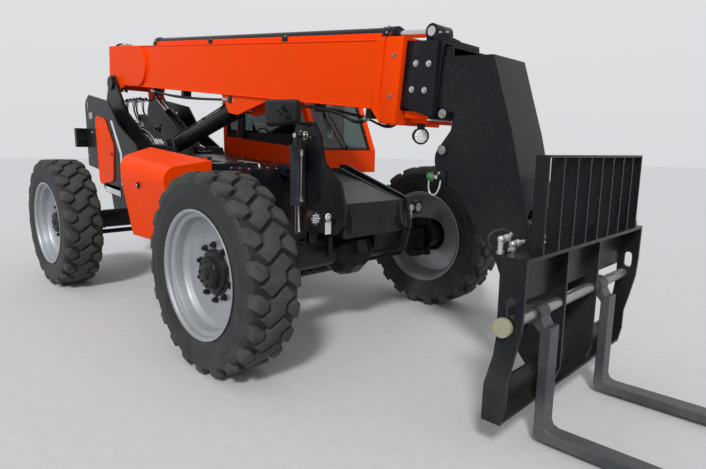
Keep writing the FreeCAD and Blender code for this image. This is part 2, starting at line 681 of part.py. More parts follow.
def stroke(base, eye, pivot, degrees):
    """How much longer a cylinder gets when its eye turns about a pivot, nose up positive."""
    a = math.radians(degrees)
    dx = eye[0] - pivot[0]
    dz = eye[1] - pivot[1]
    x = pivot[0] + dx * math.cos(a) - dz * math.sin(a)
    z = pivot[1] + dx * math.sin(a) + dz * math.cos(a)
    return math.hypot(x - base[0], z - base[1]) - cylinder_line(base, eye)[2]


def barrel_piece(base, eye, y, radius, bore, barrel_length, eye_r, bore_start):
    """A cylinder barrel with its base eye; the base eye sits at the frame pin."""
    ux, uz, _ = cylinder_line(base, eye)
    start = (base[0] + ux * eye_r * 0.7, y, base[1] + uz * eye_r * 0.7)
    end = (base[0] + ux * barrel_length, y, base[1] + uz * barrel_length)
    neck = (base[0] + ux * (barrel_length - 70), y, base[1] + uz * (barrel_length - 70))
    deep = (base[0] + ux * bore_start, y, base[1] + uz * bore_start)
    past = (end[0] + ux, y, end[2] + uz)
    body = drum(start, end, radius - 6)
    gland = drum(neck, end, radius)
    half = radius + PIN_SIDE_GAP - RUN_GAP
    hub = drum((base[0], y - half, base[1]), (base[0], y + half - 8, base[1]), eye_r)
    cap = rod((base[0], y + half - 8, base[1]), (base[0], y + half, base[1]), eye_r * 0.6)
    return joined([body, gland, hub, cap]).cut(drum(deep, past, bore))


def rod_piece(base, eye, y, radius, rod_start, eye_r, barrel_r):
    """A cylinder rod with its end eye, from inside the barrel out to the moving pin."""
    ux, uz, _ = cylinder_line(base, eye)
    start = (base[0] + ux * rod_start, y, base[1] + uz * rod_start)
    shaft = drum(start, (eye[0], y, eye[1]), radius)
    half = barrel_r + PIN_SIDE_GAP - RUN_GAP
    hub = drum((eye[0], y - half, eye[1]), (eye[0], y + half, eye[1]), eye_r)
    return joined([shaft, hub])


def lift_barrel():
    return barrel_piece(LIFT_BASE, LIFT_EYE, LIFT_Y, LIFT_R, LIFT_ROD_R + ROD_GAP, LIFT_BARREL, 78, 140)


def lift_rod():
    start = LIFT_BARREL - 130 - stroke(LIFT_BASE, LIFT_EYE, (PIVOT_X, PIVOT_Z), LIFT_MAX)
    return rod_piece(LIFT_BASE, LIFT_EYE, LIFT_Y, LIFT_ROD_R, start, 70, LIFT_R)


def level_barrel():
    return barrel_piece(LEVEL_BASE, LEVEL_EYE, LEVEL_Y, LEVEL_R, LEVEL_ROD_R + ROD_GAP, LEVEL_BARREL, 50, 110)


def level_rod():
    start = LEVEL_BARREL - 200 - stroke(LEVEL_BASE, LEVEL_EYE, (PIVOT_X, PIVOT_Z), LIFT_MAX)
    return rod_piece(LEVEL_BASE, LEVEL_EYE, LEVEL_Y, LEVEL_ROD_R, start, 44, LEVEL_R)


def tilt_barrel():
    return barrel_piece(TILT_BASE, TILT_EYE, 0, TILT_R, TILT_ROD_R + ROD_GAP, TILT_BARREL, 50, 62)


def tilt_rod():
    start = TILT_BARREL - 48 - stroke(TILT_BASE, TILT_EYE, (TIP_X, TIP_Z), -TILT_DUMP)
    return rod_piece(TILT_BASE, TILT_EYE, 0, TILT_ROD_R, start, 46, TILT_R)


def carriage_frame():
    """Welded carriage: two side plates, two centre plates, cross members and the load backrest."""
    face = FORK_FACE_X
    profile = [(CARRIAGE_BACK, SHELF_Z + 18), (SHELF_FRONT, SHELF_Z + 18), (face + 38, 756), (face + 32, 643),
               (face + 9, 522), (face - 19, 395), (face - 20, 275), (face - 38, 178), (face - 136, 178),
               (face - 133, 356), (face - 93, 509), (CARRIAGE_BACK, 593)]
    slot = plate([(BAR_X + 3, BAR_Z + 40, 22), (BAR_X + 49, BAR_Z + 40, 22), (BAR_X + 49, BAR_Z + 142, 22),
                  (BAR_X + 3, BAR_Z + 142, 22)],
                 CARRIAGE_HALF - SIDE_PLATE_T - 5, CARRIAGE_HALF + 5)
    bar_hole = drum((BAR_X, -CARRIAGE_HALF - 5, BAR_Z), (BAR_X, CARRIAGE_HALF + 5, BAR_Z), BAR_R + 0.5)
    side = plate(profile, CARRIAGE_HALF - SIDE_PLATE_T, CARRIAGE_HALF).cut(slot)
    inner = NECK_HALF + 26
    centre = plate([(CARRIAGE_BACK, SHELF_Z + 18), (face - 10, SHELF_Z + 18), (face - 10, 300), (face - 50, 180),
                    (face - 130, 180), (TIP_X - 95, TIP_Z - 60, 60), (TIP_X - 95, TIP_Z + 70, 60),
                    (face - 160, 700), (face - 93, 860)],
                   inner, inner + 20)
    half = CARRIAGE_HALF - SIDE_PLATE_T
    shelf = box(CARRIAGE_BACK, SHELF_FRONT, -half, half, SHELF_Z, SHELF_Z + 18)
    upper = box(CARRIAGE_BACK, CARRIAGE_BACK + 16, -half, half, 720, SHELF_Z)
    lower = box(face - 110, face - 94, -half, half, 190, 350)
    lip = box(face - 94, face - 30, -half, half, 190, 206)
    tip_pins = []
    for side_y in (-1, 1):
        start, end = side_y * (NECK_HALF + RUN_GAP), side_y * (inner + 34)
        tip_pins.append(drum((TIP_X, start, TIP_Z), (TIP_X, end, TIP_Z), 48))
    tip_pins.append(rod((TIP_X, inner + 34, TIP_Z), (TIP_X, inner + 40, TIP_Z), 20))
    lugs = []
    for sign in (-1, 1):
        y = sign * (TILT_R + PIN_SIDE_GAP)
        lugs.append(plate([(CARRIAGE_BACK, 740), (TILT_EYE[0] - 20, TILT_EYE[1] - 60), (TILT_EYE[0] - 50, TILT_EYE[1] - 10),
                           (TILT_EYE[0] - 30, TILT_EYE[1] + 50), (CARRIAGE_BACK, 940)], y, y + sign * 20))
    bars = []
    bars_back = SHELF_FRONT - BACKREST_DEPTH
    span = 2 * BACKREST_HALF - 12
    for i in range(BACKREST_BARS):
        y = -BACKREST_HALF + span * i / (BACKREST_BARS - 1)
        bars.append(box(bars_back, SHELF_FRONT, y, y + 12, SHELF_Z + 18, BACKREST_TOP - 12))
    rail = box(bars_back, SHELF_FRONT, -BACKREST_HALF, BACKREST_HALF, BACKREST_TOP - 12, BACKREST_TOP)
    pieces = both_sides(side) + both_sides(centre) + [shelf, upper, lower, lip, rail] + tip_pins + lugs + bars
    return joined(pieces).cut(bar_hole)


def fork_bar():
    reach = CARRIAGE_HALF + 14
    shaft = drum((BAR_X, -reach, BAR_Z), (BAR_X, reach, BAR_Z), BAR_R)
    caps = [drum((BAR_X, s * (CARRIAGE_HALF + 2), BAR_Z), (BAR_X, s * (reach + 16), BAR_Z), BAR_R + 12)
            for s in (-1, 1)]
    return joined([shaft] + caps)


def fork(side):
    """Pin-type pallet fork: collar on the bar, shank, rounded heel and tapered blade."""
    y0 = side * FORK_Y + FORK_SHIFT - FORK_W / 2
    y1 = y0 + FORK_W
    back = FORK_FACE_X
    body = plate([(back, BAR_Z + 10), (back, FORK_LOW, 30), (FORK_REACH, FORK_LOW), (FORK_REACH, FORK_LOW + 14),
                  (FORK_REACH - 700, FORK_LOW + FORK_T), (back + FORK_T, FORK_LOW + FORK_T, 40),
                  (back + FORK_T, BAR_Z - 10)], y0, y1)
    collar = drum((BAR_X, y0, BAR_Z), (BAR_X, y1, BAR_Z), BAR_R + 18)
    web = box(BAR_X, back + 20, y0, y1, BAR_Z - 20, BAR_Z + 30)
    hole = drum((BAR_X, y0 - 1, BAR_Z), (BAR_X, y1 + 1, BAR_Z), BAR_R + 0.5)
    return joined([body, collar, web]).cut(hole)


def hood_block(inset):
    """The hood's outside, or its inside where inset is the sheet's thickness."""
    out = HOOD_OUT - inset
    reach = 0 if inset == 0 else 20
    low = HOOD_LOW - reach
    inner = HOOD_IN - reach
    top = HOOD_TOP + HOOD_RISE - inset
    turn = HOOD_ROUND - inset
    crown = [(-inner, top)]
    for i in range(5):
        a = math.radians(90 * i / 4)
        crown.append((-out + turn - turn * math.sin(a), top - HOOD_FALL - turn + turn * math.cos(a)))
    ring = [Vector(HOOD_REAR, y, z) for y, z in crown + [(-out, low), (-inner, low)]]
    slope = Vector(HOOD_FRONT - HOOD_REAR, 0, -HOOD_RISE)
    sloped = Part.Face(Part.makePolygon(ring + ring[:1])).extrude(slope)
    rear = HOOD_REAR + inset
    front = HOOD_FRONT - inset
    base = box(rear, front, -out, -inner, low, 900)
    lean = cross_plate([(-inner, 2000), (-out, 2000), (-out, 1160), (-out + 110, low), (-inner, low)], rear, front)
    skew = HOOD_SKEW / (HOOD_OUT - HOOD_IN)
    plan = plan_plate([(front, -inner), (front, -out), (rear + skew * (out - HOOD_IN), -out),
                       (rear, -HOOD_IN), (rear, -inner)], low, 2000)
    return joined([sloped, base]).common(lean).common(plan)


def engine_hood():
    """Thin pressed cover over the engine: open below and inboard, hinged at its inner top edge."""
    hood = hood_block(0).cut(hood_block(HOOD_T))
    arms = []
    for x in HOOD_ARMS:
        top = HOOD_TOP + HOOD_RISE * (HOOD_FRONT - x) / (HOOD_FRONT - HOOD_REAR)
        arms.append(cross_plate([(-HOOD_IN - 60, top - HOOD_T - 4), (-HOOD_IN, top - 3),
                                 (HOOD_HINGE_Y + 16, HOOD_HINGE_Z + 16), (HOOD_HINGE_Y + 16, HOOD_HINGE_Z - 16),
                                 (-HOOD_IN - 10, HOOD_HINGE_Z - 20)], x, x + 16))
    start = (HOOD_REAR, HOOD_HINGE_Y, HOOD_HINGE_Z)
    end = (HOOD_FRONT, HOOD_HINGE_Y, HOOD_HINGE_Z)
    return joined([hood] + arms).cut(drum(start, end, HINGE_PIN_R + HINGE_PIN_GAP, 8))


def engine_block():
    return box(HOOD_REAR + HOOD_SKEW, HOOD_FRONT - 120, -HOOD_OUT + 190, -RAIL_IN - RAIL_T, 700, 1230)


def tank_deck():
    """Black tank between the hood and the front tower, and the engine deck that carries the hood's hinges."""
    inner = -RAIL_IN - RAIL_T
    tank = box(HOOD_FRONT + 12, -420, -590, inner, 900, 1262)
    deck = box(HOOD_REAR, HOOD_FRONT + 12, -HOOD_IN + 8, inner, 1230, 1296)
    hinges = []
    for x in HOOD_ARMS:
        for start in (x - 13, x + 17):
            hinges.append(box(start, start + 12, HOOD_HINGE_Y - 16, HOOD_HINGE_Y + 16, 1296, HOOD_HINGE_Z + 16))
        start, end = (x - 13, HOOD_HINGE_Y, HOOD_HINGE_Z), (x + 29, HOOD_HINGE_Y, HOOD_HINGE_Z)
        hinges.append(drum(start, end, HINGE_PIN_R, 8))
    hinges.append(rod(end, (end[0] + 4, end[1], end[2]), HINGE_PIN_R))
    return joined([tank, deck] + hinges)


def valve_block():
    """Hydraulic valve block on a shelf plate between the rails, behind the lift cylinder."""
    rear = PIVOT_X + 400
    body = box(rear, rear + 220, -210, 20, 1500, 1640)
    return joined([body, box(rear - 20, rear + 240, -RAIL_IN, RAIL_IN, 1484, 1500)])


def sway_cylinder():
    """Frame levelling cylinder beside the tower, standing on the axle."""
    x = -60.0
    y = -DECK_HALF - 24 - 60
    top = 1515.0
    barrel = drum((x, y, 1010), (x, y, top - 40), 46)
    shaft = drum((x, y, 780), (x, y, 1010), 24, 12)
    head = drum((x, y - 40, top), (x, y + 60, top), 44)
    foot = drum((x, y - 40, 780), (x, y + 40, 780), 40)
    lug = box(x - 30, x + 30, y - 30, y + 30, WHEEL_R, 780)
    tube = drum((0, y - 50, WHEEL_R), (0, y + 50, WHEEL_R), AXLE_TUBE_R)
    return joined([barrel, shaft, head, foot, lug]).cut(tube)


def lamps():
    """Round work lamps: two at the front of the frame and one pair at the tail."""
    rows = ((235, 560, 960, 1, DECK_HALF + 24), (-TAIL_REACH + 45, 560, 1500, -1, TAIL_HALF))
    found = []
    for x, y, z, face, carrier in rows:
        can = drum((x, y, z), (x + face * 45, y, z), 52)
        arm = box(x - 10, x + 40, carrier, y, z - 20, z + 20)
        found += both_sides(joined([can, arm]))
    return Part.makeCompound(found)


def mirror():
    housing = box(-150, 100, -700, -600, 1570, 1750)
    arm = box(-60, -30, -600, -DECK_HALF - 24, 1590, 1612)
    return joined([housing, arm])


def sill(x):
    """Height of the cab's lower panels, which fall towards the front."""
    return SILL_FRONT + (CAB_FRONT - x) / (CAB_FRONT - CAB_REAR) * (SILL_REAR - SILL_FRONT)


def screen_x(z):
    """Where the raked windscreen stands at a height."""
    return CAB_FRONT - (z - SILL_FRONT) * CAB_RAKE


def pillar(rear, front, low, high, y0, y1):
    """An upright post or panel of the cab, on the sill line where low is None."""
    feet = [(front, sill(front)), (rear, sill(rear))] if low is None else [(front, low), (rear, low)]
    return plate(feet + [(rear, high), (front, high)], y0, y1)


def cab_tub():
    """Floor and lower panels, each a flat folded sheet."""
    w = CAB_WALL
    base = CAB_LOW + w
    door_rear = DOOR_REAR - DOOR_GAP
    door_front = DOOR_FRONT + DOOR_GAP
    corner = [(CAB_REAR, sill(CAB_REAR)), (CAB_REAR, CAB_STEP_Z), (CAB_TUB_REAR, base)]
    nose = [(CAB_FRONT, base), (CAB_FRONT, SILL_FRONT)]
    right = plate(corner + nose, CAB_IN, CAB_IN + w)
    left_rear = plate(corner + [(door_rear, base), (door_rear, sill(door_rear))], CAB_OUT - w, CAB_OUT)
    left_front = plate([(door_front, sill(door_front)), (door_front, base)] + nose, CAB_OUT - w, CAB_OUT)
    heel = plate([(CAB_TUB_REAR, base), (CAB_REAR, CAB_STEP_Z), (CAB_REAR + w, CAB_STEP_Z),
                  (CAB_TUB_REAR + w, base)], CAB_IN + w, CAB_OUT - w)
    back = box(CAB_REAR, CAB_REAR + w, CAB_IN + w, CAB_OUT - w, CAB_STEP_Z, sill(CAB_REAR + w))
    front = box(CAB_FRONT - w, CAB_FRONT, CAB_IN + w, CAB_OUT - w, base, SILL_FRONT)
    floor = box(CAB_TUB_REAR, CAB_FRONT, CAB_IN, CAB_OUT, CAB_LOW, base)
    return Part.makeCompound([right, left_rear, left_front, heel, back, front, floor])


def cab_frame():
    """Pillars, top rails and the door's hinge blocks."""
    w = CAB_WALL
    rear_y = ((CAB_IN, CAB_IN + PILLAR_T), (CAB_OUT - PILLAR_T, CAB_OUT))
    found = []
    for y0, y1 in rear_y:
        found.append(pillar(CAB_REAR, CAB_REAR + PILLAR_T, None, ROOF_LOW, y0, y1))
        found.append(plate([(screen_x(SILL_FRONT), SILL_FRONT), (screen_x(ROOF_LOW), ROOF_LOW),
                            (screen_x(ROOF_LOW) - PILLAR_W, ROOF_LOW),
                            (CAB_FRONT - PILLAR_W, sill(CAB_FRONT - PILLAR_W))], y0, y1))
    found.append(pillar(-2110, -2020, None, RAIL_LOW, CAB_IN, CAB_IN + w))
    door_rear = DOOR_REAR - DOOR_GAP
    door_front = DOOR_FRONT + DOOR_GAP
    found.append(pillar(door_rear - PILLAR_T, door_rear, None, ROOF_LOW, CAB_OUT - w, CAB_OUT))
    found.append(pillar(door_front, door_front + PILLAR_T, None, RAIL_LOW, CAB_OUT - w, CAB_OUT))
    ahead = screen_x(ROOF_LOW) - PILLAR_W
    found.append(box(CAB_REAR + PILLAR_T, ahead, CAB_IN, CAB_IN + w, RAIL_LOW, ROOF_LOW))
    found.append(box(door_rear, ahead, CAB_OUT - w, CAB_OUT, DOOR_TOP + DOOR_GAP, ROOF_LOW))
    found.append(box(CAB_REAR, CAB_REAR + w, CAB_IN + PILLAR_T, CAB_OUT - PILLAR_T, RAIL_LOW, ROOF_LOW))
    found.append(plate([(screen_x(RAIL_LOW), RAIL_LOW), (screen_x(ROOF_LOW), ROOF_LOW),
                        (screen_x(ROOF_LOW) - w, ROOF_LOW), (screen_x(RAIL_LOW) - w, RAIL_LOW)],
                       CAB_IN + PILLAR_T, CAB_OUT - PILLAR_T))
    for z in DOOR_HINGES:
        hinge = [drum((HINGE_X, HINGE_Y, z - 21), (HINGE_X, HINGE_Y, z + 71), HINGE_PIN_R, 8)]
        for start in (z - 21, z + 51):
            hinge.append(box(DOOR_REAR - 60, HINGE_X, CAB_OUT, HINGE_Y + 12, start, start + 20))
            hinge.append(drum((HINGE_X, HINGE_Y, start), (HINGE_X, HINGE_Y, start + 20), 12, 8))
        if z == DOOR_HINGES[-1]:
            hinge.append(rod((HINGE_X, HINGE_Y, z + 71), (HINGE_X, HINGE_Y, z + 75), HINGE_PIN_R))
        found.append(joined(hinge))
    return Part.makeCompound(found)


def cab_roof():
    """Roof panel with folded edges."""
    out = 10
    fold = 34
    low, high = ROOF_LOW, CAB_ROOF
    edge = [(CAB_IN - out, low), (CAB_OUT + out, low), (CAB_OUT + out, low + 14), (CAB_OUT - fold, high),
            (CAB_IN + fold, high), (CAB_IN - out, low + 14)]
    return cross_plate(edge, CAB_REAR - out, screen_x(ROOF_LOW) + out)


def cab_windows():
    mid = CAB_WALL / 2
    right = (CAB_IN + mid, CAB_IN + mid + GLASS_T)
    left = (CAB_OUT - mid - GLASS_T, CAB_OUT - mid)
    rear_edge = CAB_REAR + PILLAR_T
    pillar_foot = CAB_FRONT - PILLAR_W
    rail_x = screen_x(RAIL_LOW)
    quarter = DOOR_FRONT + DOOR_GAP + PILLAR_T
    quarter_top = SILL_FRONT + (CAB_FRONT - PILLAR_W - quarter) / CAB_RAKE
    panes = [
        plate([(CAB_FRONT - mid, SILL_FRONT), (rail_x - mid, RAIL_LOW), (rail_x - mid - GLASS_T, RAIL_LOW),
               (CAB_FRONT - mid - GLASS_T, SILL_FRONT)], CAB_IN + PILLAR_T, CAB_OUT - PILLAR_T),
        box(CAB_REAR + mid, CAB_REAR + mid + GLASS_T, CAB_IN + PILLAR_T, CAB_OUT - PILLAR_T,
            sill(CAB_REAR + CAB_WALL), RAIL_LOW),
        plate([(pillar_foot, sill(pillar_foot)), (-2020, sill(-2020)), (-2020, RAIL_LOW),
               (rail_x - PILLAR_W, RAIL_LOW)], *right),
        pillar(rear_edge, -2110, None, RAIL_LOW, *right),
        pillar(rear_edge, DOOR_REAR - DOOR_GAP - PILLAR_T, None, ROOF_LOW, *left),
        plate([(pillar_foot, sill(pillar_foot)), (quarter, sill(quarter)), (quarter, quarter_top)], *left)]
    return Part.makeCompound(panes)


def cab_door():
    w = CAB_WALL
    skin = box(DOOR_REAR, DOOR_FRONT, CAB_OUT - w + 3, CAB_OUT, DOOR_LOW, DOOR_TOP)
    light = box(DOOR_REAR + 60, DOOR_FRONT - 60, CAB_OUT - w - 10, CAB_OUT + 10, CAB_LOW + 330, DOOR_TOP - 62)
    straps = []
    for z in DOOR_HINGES:
        straps.append(drum((HINGE_X, HINGE_Y, z), (HINGE_X, HINGE_Y, z + 50), 13, 8))
        straps.append(box(HINGE_X, DOOR_REAR + 50, CAB_OUT, CAB_OUT + 10, z, z + 50))
    pin = drum((HINGE_X, HINGE_Y, CAB_LOW), (HINGE_X, HINGE_Y, CAB_ROOF), HINGE_PIN_R + HINGE_PIN_GAP, 8)
    return joined([skin.cut(light)] + straps).cut(pin)


def door_window():
    mid = CAB_WALL / 2
    return box(DOOR_REAR + 60, DOOR_FRONT - 60, CAB_OUT - mid - GLASS_T, CAB_OUT - mid,
               CAB_LOW + 330, DOOR_TOP - 62)


def seat():
    middle = (CAB_IN + CAB_OUT) / 2
    floor = CAB_LOW + CAB_WALL
    pad = box(-2060, -1580, middle - 240, middle + 240, floor + 330, floor + 450)
    back = box(-2130, -2010, middle - 230, middle + 230, floor + 450, floor + 1000)
    pedestal = box(-1980, -1680, middle - 150, middle + 150, floor, floor + 330)
    return joined([pad, back, pedestal])


def steering_console():
    middle = (CAB_IN + CAB_OUT) / 2
    floor = CAB_LOW + CAB_WALL
    column = plate([(-1060, floor), (-1160, floor), (-1290, floor + 650), (-1200, floor + 650)],
                   middle - 50, middle + 50)
    wheel = faceted_ring([(146, -12), (168, -12), (168, 12), (146, 12)], 16)
    bar = box(-150, 150, -8, 8, -20, 20)
    stem = rod((0, -60, 0), (0, 8, 0), 28)
    wheel = joined([wheel, bar, stem])
    wheel.rotate(Vector(0, 0, 0), Vector(1, 0, 0), 90)
    wheel.rotate(Vector(0, 0, 0), Vector(0, 1, 0), -14)
    wheel.translate(Vector(-1260, middle, floor + 690))
    return joined([column, wheel])


def cab_steps():
    """Two treads hung below the doorway on side straps, ahead of the rear wheel."""
    outer = CAB_OUT - 20
    rear = -WHEELBASE + WHEEL_R + STEP_CLEAR
    front = rear + STEP_L
    straps = [box(x, x + 10, outer - 160, outer, 620, CAB_LOW) for x in (rear, front - 10)]
    treads = [box(rear + 10, front - 10, outer - 160, outer, z, z + 24) for z in (640, 900)]
    hanger = box(rear, front, RAIL_IN + RAIL_T, outer - 160, 940, 970)
    return joined(straps + treads + [hanger])


def steer_rod():
    """Steering rod through its cylinder behind the axle, with a stud up to each knuckle arm."""
    reach = KINGPIN_Y + 22
    z = steer_rod_height()
    bar = drum((-STEER_ARM, -reach, z), (-STEER_ARM, reach, z), STEER_ROD_R, 12)
    high = WHEEL_R - TIE_LOW - RUN_GAP
    studs = [drum((-STEER_ARM, side * KINGPIN_Y, z), (-STEER_ARM, side * KINGPIN_Y, high), 15, 8) for side in (-1, 1)]
    return joined([bar] + studs)


def write_node(name, shape):
    moved = shape.copy()
    moved.translate(Vector(FRONT_AXLE_X, 0, 0))
    if not moved.isValid():
        print("not valid:", name)
    moved.exportStep("parts/" + name + ".step")


def nodes():
    """Every node's name and shape, X from the front axle."""
    found = {
        "main_frame": main_frame(), "tail_boxes": tail_boxes(), "tail_doors": tail_doors(),
        "counterweight": counterweight(), "engine_block": engine_block(), "tank_deck": tank_deck(),
        "valve_block": valve_block(), "sway_cylinder": sway_cylinder(), "lamps": lamps(), "mirror": mirror(),
        "cab_tub": cab_tub(), "cab_frame": cab_frame(), "cab_roof": cab_roof(),
        "cab_windows": cab_windows(), "cab_door": cab_door(), "door_window": door_window(), "seat": seat(), "steering_console": steering_console(),
        "cab_steps": cab_steps(), "engine_hood": engine_hood(), "boom_outer": boom_outer(),
        "extension_barrel": extension_barrel(), "extension_rod": extension_rod(),
        "boom_middle": boom_middle(), "boom_fly": boom_fly(), "lift_barrel": lift_barrel(),
        "lift_rod": lift_rod(), "level_barrel": level_barrel(), "level_rod": level_rod(),
        "tilt_barrel": tilt_barrel(), "tilt_rod": tilt_rod(), "carriage_frame": carriage_frame(),
        "fork_bar": fork_bar(), "fork_right": fork(-1), "fork_left": fork(1)}
    wheel_parts = {"tyre": tyre(), "rim": rim(), "knuckle": knuckle()}
    for end, x, turn in (("front", 0.0, 0), ("rear", -WHEELBASE, 180)):
        for side_name, side in (("right", -1), ("left", 1)):
            for part_name, shape in wheel_parts.items():
                placed = wheel_place(shape, x, side)
                found[part_name + "_" + end + "_" + side_name] = placed
        drive = axle()
        drive.rotate(Vector(0, 0, 0), Vector(0, 0, 1), turn)
        for part_name, shape in (("axle", drive), ("steer_rod", steer_rod())):
            shape.translate(Vector(x, 0, 0))
            found[part_name + "_" + end] = shape
    return found


def main():
    os.makedirs("parts", exist_ok=True)
    for name, shape in nodes().items():
        write_node(name, shape)


if __name__ == "__main__":
    main()
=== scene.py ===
import math

import bmesh
import bpy
from mathutils import Matrix, Vector


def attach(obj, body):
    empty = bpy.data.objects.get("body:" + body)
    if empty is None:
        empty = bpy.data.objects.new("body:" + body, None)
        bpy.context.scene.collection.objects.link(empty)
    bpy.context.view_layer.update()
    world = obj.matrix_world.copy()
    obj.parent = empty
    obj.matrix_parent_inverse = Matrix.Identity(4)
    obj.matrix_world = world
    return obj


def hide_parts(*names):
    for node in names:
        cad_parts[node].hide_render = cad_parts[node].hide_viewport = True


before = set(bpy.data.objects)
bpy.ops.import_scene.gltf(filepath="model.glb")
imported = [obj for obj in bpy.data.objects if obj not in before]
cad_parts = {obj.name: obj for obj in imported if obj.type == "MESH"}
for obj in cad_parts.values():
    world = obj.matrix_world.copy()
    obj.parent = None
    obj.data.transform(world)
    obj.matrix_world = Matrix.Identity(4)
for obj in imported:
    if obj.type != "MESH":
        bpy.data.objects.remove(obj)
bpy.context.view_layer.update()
scene = bpy.context.scene

# Main frame: two plate rails with cross tubes, a front box, a tower plate and the pivot ears, all
# welded steel under satin black paint. The cast counterweight between the tail boxes has the same
# paint. Dust gathers low down, and the edges are softened.


def place(tree, kind, inputs=None, **settings):
    """Adds a shader node and fills its inputs with values or with other nodes' outputs."""
    made = tree.nodes.new("ShaderNode" + kind)
    for name, value in settings.items():
        setattr(made, name, value)
    for name, value in (inputs or {}).items():
        if isinstance(value, bpy.types.NodeSocket):
            tree.links.new(value, made.inputs[name])
        else:
            made.inputs[name].default_value = value
    return made


def blended(tree, share, first, second):
    """The output of a colour mix."""
    return place(tree, "Mix", {0: share, 6: first, 7: second}, data_type="RGBA").outputs[2]


def sum_of(tree, operation, first, second):
    return place(tree, "Math", {0: first, 1: second}, operation=operation).outputs[0]


def marks_group():
    """Node group for what years outdoors leave on a finish: soft patches, small specks, fine grain."""
    group = bpy.data.node_groups.new("outdoor_marks", "ShaderNodeTree")
    for name, kind in (("Vector", "NodeSocketVector"), ("Patch Scale", "NodeSocketFloat"),
                       ("Grain Scale", "NodeSocketFloat")):
        group.interface.new_socket(name, in_out="INPUT", socket_type=kind)
    for name in ("Patches", "Specks", "Low", "Grain"):
        group.interface.new_socket(name, in_out="OUTPUT", socket_type="NodeSocketFloat")
    given = group.nodes.new("NodeGroupInput")
    result = group.nodes.new("NodeGroupOutput")
    vector = given.outputs["Vector"]
    broad = place(group, "TexNoise", {"Vector": vector, "Scale": given.outputs["Patch Scale"],
                                      "Detail": 6.0, "Roughness": 0.62})
    patches = place(group, "MapRange", {"Value": broad.outputs[0], "From Min": 0.38, "From Max": 0.68})
    speck_noise = place(group, "TexNoise", {"Vector": vector, "Scale": 46.0, "Detail": 3.0})
    specks = place(group, "MapRange", {"Value": speck_noise.outputs[0], "From Min": 0.60, "From Max": 0.72})
    height = place(group, "SeparateXYZ", {0: vector})
    low = place(group, "MapRange", {"Value": height.outputs[2], "From Min": 1.25, "From Max": 0.05})
    grain = place(group, "TexNoise", {"Vector": vector, "Scale": given.outputs["Grain Scale"], "Detail": 2.0})
    for name, made in (("Patches", patches), ("Specks", specks), ("Low", low), ("Grain", grain)):
        group.links.new(made.outputs[0], result.inputs[name])
    return group


outdoor_marks = marks_group()
DUST = (0.30, 0.28, 0.25, 1)


def finish(name, colour, faded, rough, shine=0.5, metal=0.0, dust=0.3, patch=2.2, grain=180.0,
           bump=0.06, edge=0.004):
    """A painted, plated or moulded finish, with patches, dust low down and softened edges."""
    material = bpy.data.materials.new(name)
    material.use_nodes = True
    tree = material.node_tree
    tree.nodes.clear()
    spot = place(tree, "TexCoord").outputs["Object"]
    marks = place(tree, "Group", node_tree=outdoor_marks)
    tree.links.new(spot, marks.inputs["Vector"])
    marks.inputs["Patch Scale"].default_value = patch
    marks.inputs["Grain Scale"].default_value = grain
    aged = blended(tree, marks.outputs["Patches"], (*colour, 1), (*faded, 1))
    film = sum_of(tree, "MULTIPLY", marks.outputs["Low"], marks.outputs["Patches"])
    film = sum_of(tree, "MULTIPLY", film, dust)
    dots = sum_of(tree, "MULTIPLY", marks.outputs["Specks"], dust * 0.5)
    cover = sum_of(tree, "MAXIMUM", film, dots)
    painted = blended(tree, cover, aged, DUST)
    gloss = place(tree, "MapRange", {"Value": marks.outputs["Patches"], "To Min": rough,
                                     "To Max": min(1.0, rough + 0.14)}).outputs[0]
    dull = sum_of(tree, "ADD", gloss, sum_of(tree, "MULTIPLY", cover, 0.5))
    soft = place(tree, "Bevel", {"Radius": edge}, samples=4)
    skin = place(tree, "Bump", {"Strength": bump, "Distance": 0.002, "Height": marks.outputs["Grain"],
                                "Normal": soft.outputs[0]})
    shader = place(tree, "BsdfPrincipled", {"Base Color": painted, "Roughness": dull, "Metallic": metal,
                                            "Normal": skin.outputs[0], "Specular IOR Level": shine})
    output = tree.nodes.new("ShaderNodeOutputMaterial")
    tree.links.new(shader.outputs[0], output.inputs[0])
    return material


def dress(material, *names):
    """Gives CAD nodes their finish."""
    for name in names:
        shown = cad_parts[name]
        for holder in shown.material_slots:
            holder.material = material
        if not shown.material_slots:
            shown.data.materials.append(material)


black_paint = finish("black_paint", (0.008, 0.0095, 0.012), (0.014, 0.016, 0.018), 0.24,
                     shine=0.16, dust=0.10)
dress(black_paint, "main_frame", "counterweight", "tail_boxes", "tank_deck", "cab_steps", "axle_front",
      "axle_rear", "steer_rod_front", "steer_rod_rear", "knuckle_front_right", "knuckle_front_left",
      "knuckle_rear_right", "knuckle_rear_left", "lift_barrel", "level_barrel", "tilt_barrel",
      "extension_barrel", "valve_block", "boom_middle", "boom_fly", "carriage_frame")

orange_paint = finish("orange_paint", (0.93, 0.060, 0.0005), (0.88, 0.064, 0.001), 0.30,
                      shine=0.05, dust=0.01, bump=0.03)
dress(orange_paint, "tail_doors", "engine_hood", "boom_outer", "cab_tub", "cab_frame", "cab_roof",
      "cab_door")

grey_iron = finish("grey_iron", (0.055, 0.057, 0.060), (0.09, 0.088, 0.085), 0.55, dust=0.5)
dress(grey_iron, "engine_block")

silver_paint = finish("silver_paint", (0.46, 0.48, 0.50), (0.36, 0.38, 0.40), 0.36,
                      metal=0.75, dust=0.25)

tyre_rubber = finish("tyre_rubber", (0.014, 0.0155, 0.017), (0.026, 0.028, 0.030), 0.55,
                     shine=0.35, dust=0.12, patch=5.0, grain=320.0, bump=0.25)
tread_rubber = finish("tread_rubber", (0.044, 0.047, 0.045), (0.066, 0.068, 0.065), 0.72,
                      shine=0.25, dust=0.12, patch=7.0, grain=260.0, bump=0.35)

